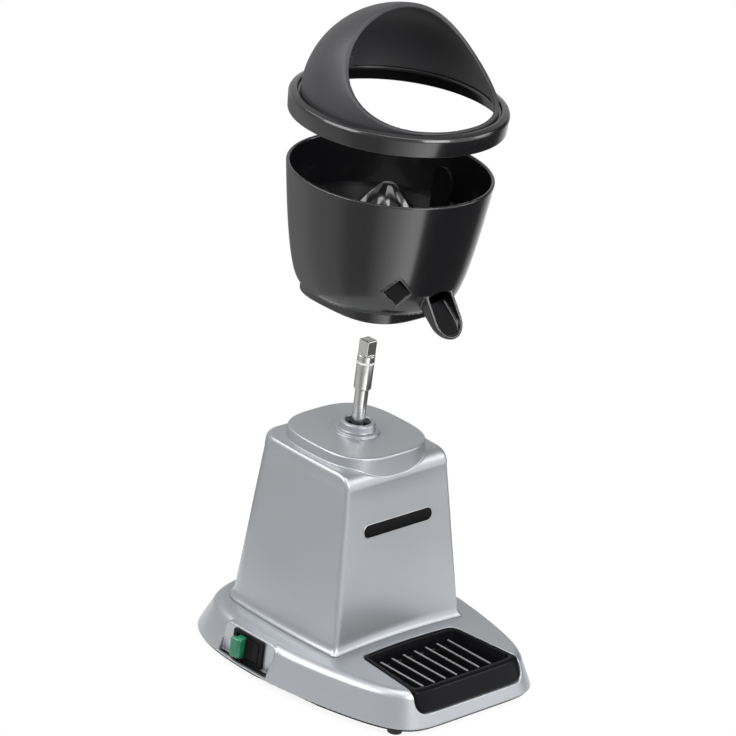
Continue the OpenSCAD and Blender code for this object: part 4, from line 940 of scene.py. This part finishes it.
def plate(name, width, height, low, high, mat, slot):
    """A bare plate with round ends that follows the front face."""
    radius = height / 2
    outline = []
    for end in (1, -1):
        for k in range(END_STEPS + 1):
            a = math.radians(-90 + 180 * k / END_STEPS)
            outline.append((end * (width / 2 - radius + radius * math.cos(a)),
                            end * radius * math.sin(a)))
    rings = []
    for scale, rise in ((0.0, low), (0.0, high - 0.2), (0.12, high - 0.04), (0.35, high)):
        ring = []
        for px, pz in outline:
            x = px - math.copysign(min(scale, abs(px)), px)
            z = pz * (1 - scale / radius)
            ring.append((x, front_y(x, PLATE_Z + z) - rise, PLATE_Z + z))
        rings.append(np.array(ring))
    verts, faces = skin(rings, cap_last=True, cap_first=True)
    obj = sharpen(add_mesh(name, verts, faces), 60)
    return piece(obj, "base", slot, mat)


plate("plate_rim", PLATE_W, PLATE_H, -0.3, 0.4, PLATE_RIM, "bright_steel")
plate("plate_face", PLATE_W - 2 * PLATE_RIM_W, PLATE_H - 2 * PLATE_RIM_W, -0.2, 0.65, PLATE,
      "black_gloss")


# Camera, floor and light
CAM_AZ, CAM_EL, CAM_ROLL = math.radians(-47.35), math.radians(23.0), math.radians(7.4)
FOCAL_PX, PX_PER_MM, IMAGE_PX, SENSOR_MM = 5000.0, 1.45, 736.0, 36.0
TARGET_RIGHT, TARGET_UP, CLIP_END = 2.14, 210.5, 20.0


def direction(turn, lift):
    """Unit vector at an angle round from the front and an angle above the floor."""
    level = math.cos(lift)
    return Vector((math.sin(turn) * level, -math.cos(turn) * level, math.sin(lift)))


toward = direction(CAM_AZ, CAM_EL)
right = Vector((math.cos(CAM_AZ), math.sin(CAM_AZ), 0))
up = toward.cross(right)
cam_x = math.cos(CAM_ROLL) * right + math.sin(CAM_ROLL) * up
cam_y = -math.sin(CAM_ROLL) * right + math.cos(CAM_ROLL) * up
aim = Vector((0, AXIS_Y, TARGET_UP)) + TARGET_RIGHT * right
eye = aim + (FOCAL_PX / PX_PER_MM) * toward
camera = bpy.data.objects.new("camera", bpy.data.cameras.new("camera"))
bpy.context.scene.collection.objects.link(camera)
camera.matrix_world = Matrix((
    (cam_x[0], cam_y[0], toward[0], eye[0] * MM),
    (cam_x[1], cam_y[1], toward[1], eye[1] * MM),
    (cam_x[2], cam_y[2], toward[2], eye[2] * MM),
    (0, 0, 0, 1),
))
camera.data.sensor_width = SENSOR_MM
camera.data.lens = FOCAL_PX * SENSOR_MM / IMAGE_PX
camera.data.clip_end = CLIP_END
bpy.context.scene.camera = camera
bpy.context.scene.view_settings.view_transform = "Standard"


FLOOR_R, FLOOR_EDGE, FLOOR_POINTS, FLOOR_TONE = 260.0, 10.0, 96, (0.86, 0.86, 0.86, 1)
FLOOR_WHITE, FLOOR_SHARE = 1.06, 0.86


def seen_directly(tree, *rays):
    """1 for rays of the named kinds."""
    path = tree.nodes.new("ShaderNodeLightPath")
    seen = path.outputs[rays[0]]
    for ray in rays[1:]:
        more = tree.nodes.new("ShaderNodeMath")
        more.operation = "MAXIMUM"
        link(tree, seen, more.inputs[0])
        link(tree, path.outputs[ray], more.inputs[1])
        seen = more.outputs[0]
    return seen


def pale_floor():
    """A disc that takes a soft shadow and is otherwise nearly as white as the background."""
    turn = np.linspace(0, 2 * np.pi, FLOOR_POINTS, endpoint=False)
    verts, faces = skin([
        [(r * math.cos(a), r * math.sin(a), 0) for a in turn] for r in (FLOOR_R, FLOOR_R - FLOOR_EDGE)
    ], cap_last=True)
    obj = add_mesh("floor", verts, faces)
    mat = bpy.data.materials.new("pale floor")
    mat.use_nodes = True
    tree = mat.node_tree
    tree.nodes.clear()
    out = tree.nodes.new("ShaderNodeOutputMaterial")
    blend = tree.nodes.new("ShaderNodeMixShader")
    matt = tree.nodes.new("ShaderNodeBsdfDiffuse")
    matt.inputs["Color"].default_value = FLOOR_TONE
    glow = tree.nodes.new("ShaderNodeEmission")
    glow.inputs["Strength"].default_value = FLOOR_WHITE
    direct = seen_directly(tree, "Is Camera Ray", "Is Glossy Ray", "Is Transmission Ray")
    share = tree.nodes.new("ShaderNodeMath")
    share.operation = "MULTIPLY"
    share.inputs[1].default_value = FLOOR_SHARE
    link(tree, direct, share.inputs[0])
    link(tree, share.outputs[0], blend.inputs["Fac"])
    link(tree, matt.outputs[0], blend.inputs[1])
    link(tree, glow.outputs[0], blend.inputs[2])
    link(tree, blend.outputs[0], out.inputs["Surface"])
    obj.data.materials.append(mat)
    return obj


floor = pale_floor()

STUDIO = 3.0
# Brightness of the studio walls: degrees round from the camera's side, and level
LOW_STOPS = [(-180, 0.06), (-150, 0.08), (-110, 0.22), (-60, 0.25), (-42, 0.14), (-14, 0.13), (10, 0.4),
             (36, 0.85), (46, 0.9), (50, 0.03), (135, 0.02), (158, 0.25), (180, 0.4)]
HIGH_STOPS = [(-180, 0.19), (-110, 0.19), (-40, 0.16), (30, 0.22), (70, 0.4), (104, 0.49), (112, 0.1),
              (116, 0.02), (142, 0.02), (160, 0.15), (180, 0.19)]
# Heights of a direction between which the low ring of brightness goes over to the high one
LOW_END, HIGH_START = -0.36, -0.12


def ramp(tree, around, stops):
    """Brightness from a share of the way round, where 0.5 is the camera's side."""
    node = tree.nodes.new("ShaderNodeValToRGB")
    elements = node.color_ramp.elements
    while len(elements) < len(stops):
        elements.new(0.5)
    for element, (degrees, level) in zip(elements, stops):
        element.position = degrees / 360 + 0.5
        element.color = (level, level, level, 1)
    link(tree, around, node.inputs["Fac"])
    return node.outputs["Color"]


def studio_world():
    """White where the camera sees it, and for all other rays the walls of a studio."""
    world = bpy.data.worlds.new("studio")
    bpy.context.scene.world = world
    world.use_nodes = True
    tree = world.node_tree
    tree.nodes.clear()
    out = tree.nodes.new("ShaderNodeOutputWorld")
    back = tree.nodes.new("ShaderNodeBackground")
    back.inputs["Color"].default_value = (1, 1, 1, 1)
    back.inputs["Strength"].default_value = 1.0
    walls = tree.nodes.new("ShaderNodeBackground")
    walls.inputs["Strength"].default_value = STUDIO
    choose = tree.nodes.new("ShaderNodeMixShader")
    direct = seen_directly(tree, "Is Camera Ray", "Is Transmission Ray")
    link(tree, direct, choose.inputs["Fac"])
    link(tree, walls.outputs[0], choose.inputs[1])
    link(tree, back.outputs[0], choose.inputs[2])
    link(tree, choose.outputs[0], out.inputs["Surface"])
    coords = tree.nodes.new("ShaderNodeTexCoord")
    turn = tree.nodes.new("ShaderNodeMapping")
    turn.inputs["Rotation"].default_value = (0, 0, math.radians(90) - CAM_AZ)
    radial = tree.nodes.new("ShaderNodeTexGradient")
    radial.gradient_type = "RADIAL"
    link(tree, coords.outputs["Generated"], turn.inputs["Vector"])
    link(tree, turn.outputs["Vector"], radial.inputs["Vector"])
    height = tree.nodes.new("ShaderNodeSeparateXYZ")
    link(tree, coords.outputs["Generated"], height.inputs["Vector"])
    rise = tree.nodes.new("ShaderNodeMapRange")
    rise.inputs["From Min"].default_value = LOW_END
    rise.inputs["From Max"].default_value = HIGH_START
    link(tree, height.outputs["Z"], rise.inputs["Value"])
    rings = tree.nodes.new("ShaderNodeMix")
    rings.data_type = "RGBA"
    link(tree, rise.outputs["Result"], rings.inputs[MIX_SHARE])
    link(tree, ramp(tree, radial.outputs["Fac"], LOW_STOPS), rings.inputs[COLOUR_A])
    link(tree, ramp(tree, radial.outputs["Fac"], HIGH_STOPS), rings.inputs[COLOUR_B])
    link(tree, rings.outputs[COLOUR_OUT], walls.inputs["Color"])


studio_world()

LIGHT_AIM = Vector((0, AXIS_Y * MM, 0.2))


def soft_box(name, right_deg, height_deg, distance, wide, tall, watts):
    """An area light, placed by its angle right of the camera and above the floor."""
    way = direction(CAM_AZ + math.radians(right_deg), math.radians(height_deg))
    lamp = bpy.data.lights.new(name, "AREA")
    lamp.shape = "RECTANGLE"
    lamp.size, lamp.size_y, lamp.energy = wide, tall, watts
    obj = bpy.data.objects.new(name, lamp)
    bpy.context.scene.collection.objects.link(obj)
    obj.location = LIGHT_AIM + distance * way
    obj.rotation_euler = way.to_track_quat("Z", "Y").to_euler()


soft_box("key", -60, 40, 1.6, 1.0, 0.8, 14)
soft_box("front", 45, 35, 1.7, 0.7, 0.7, 12)
soft_box("top", 20, 80, 1.6, 1.0, 1.0, 9)
soft_box("left", -103, 43, 1.6, 0.7, 0.5, 4.5)
soft_box("right", 100, 26, 1.6, 0.6, 0.4, 2.2)
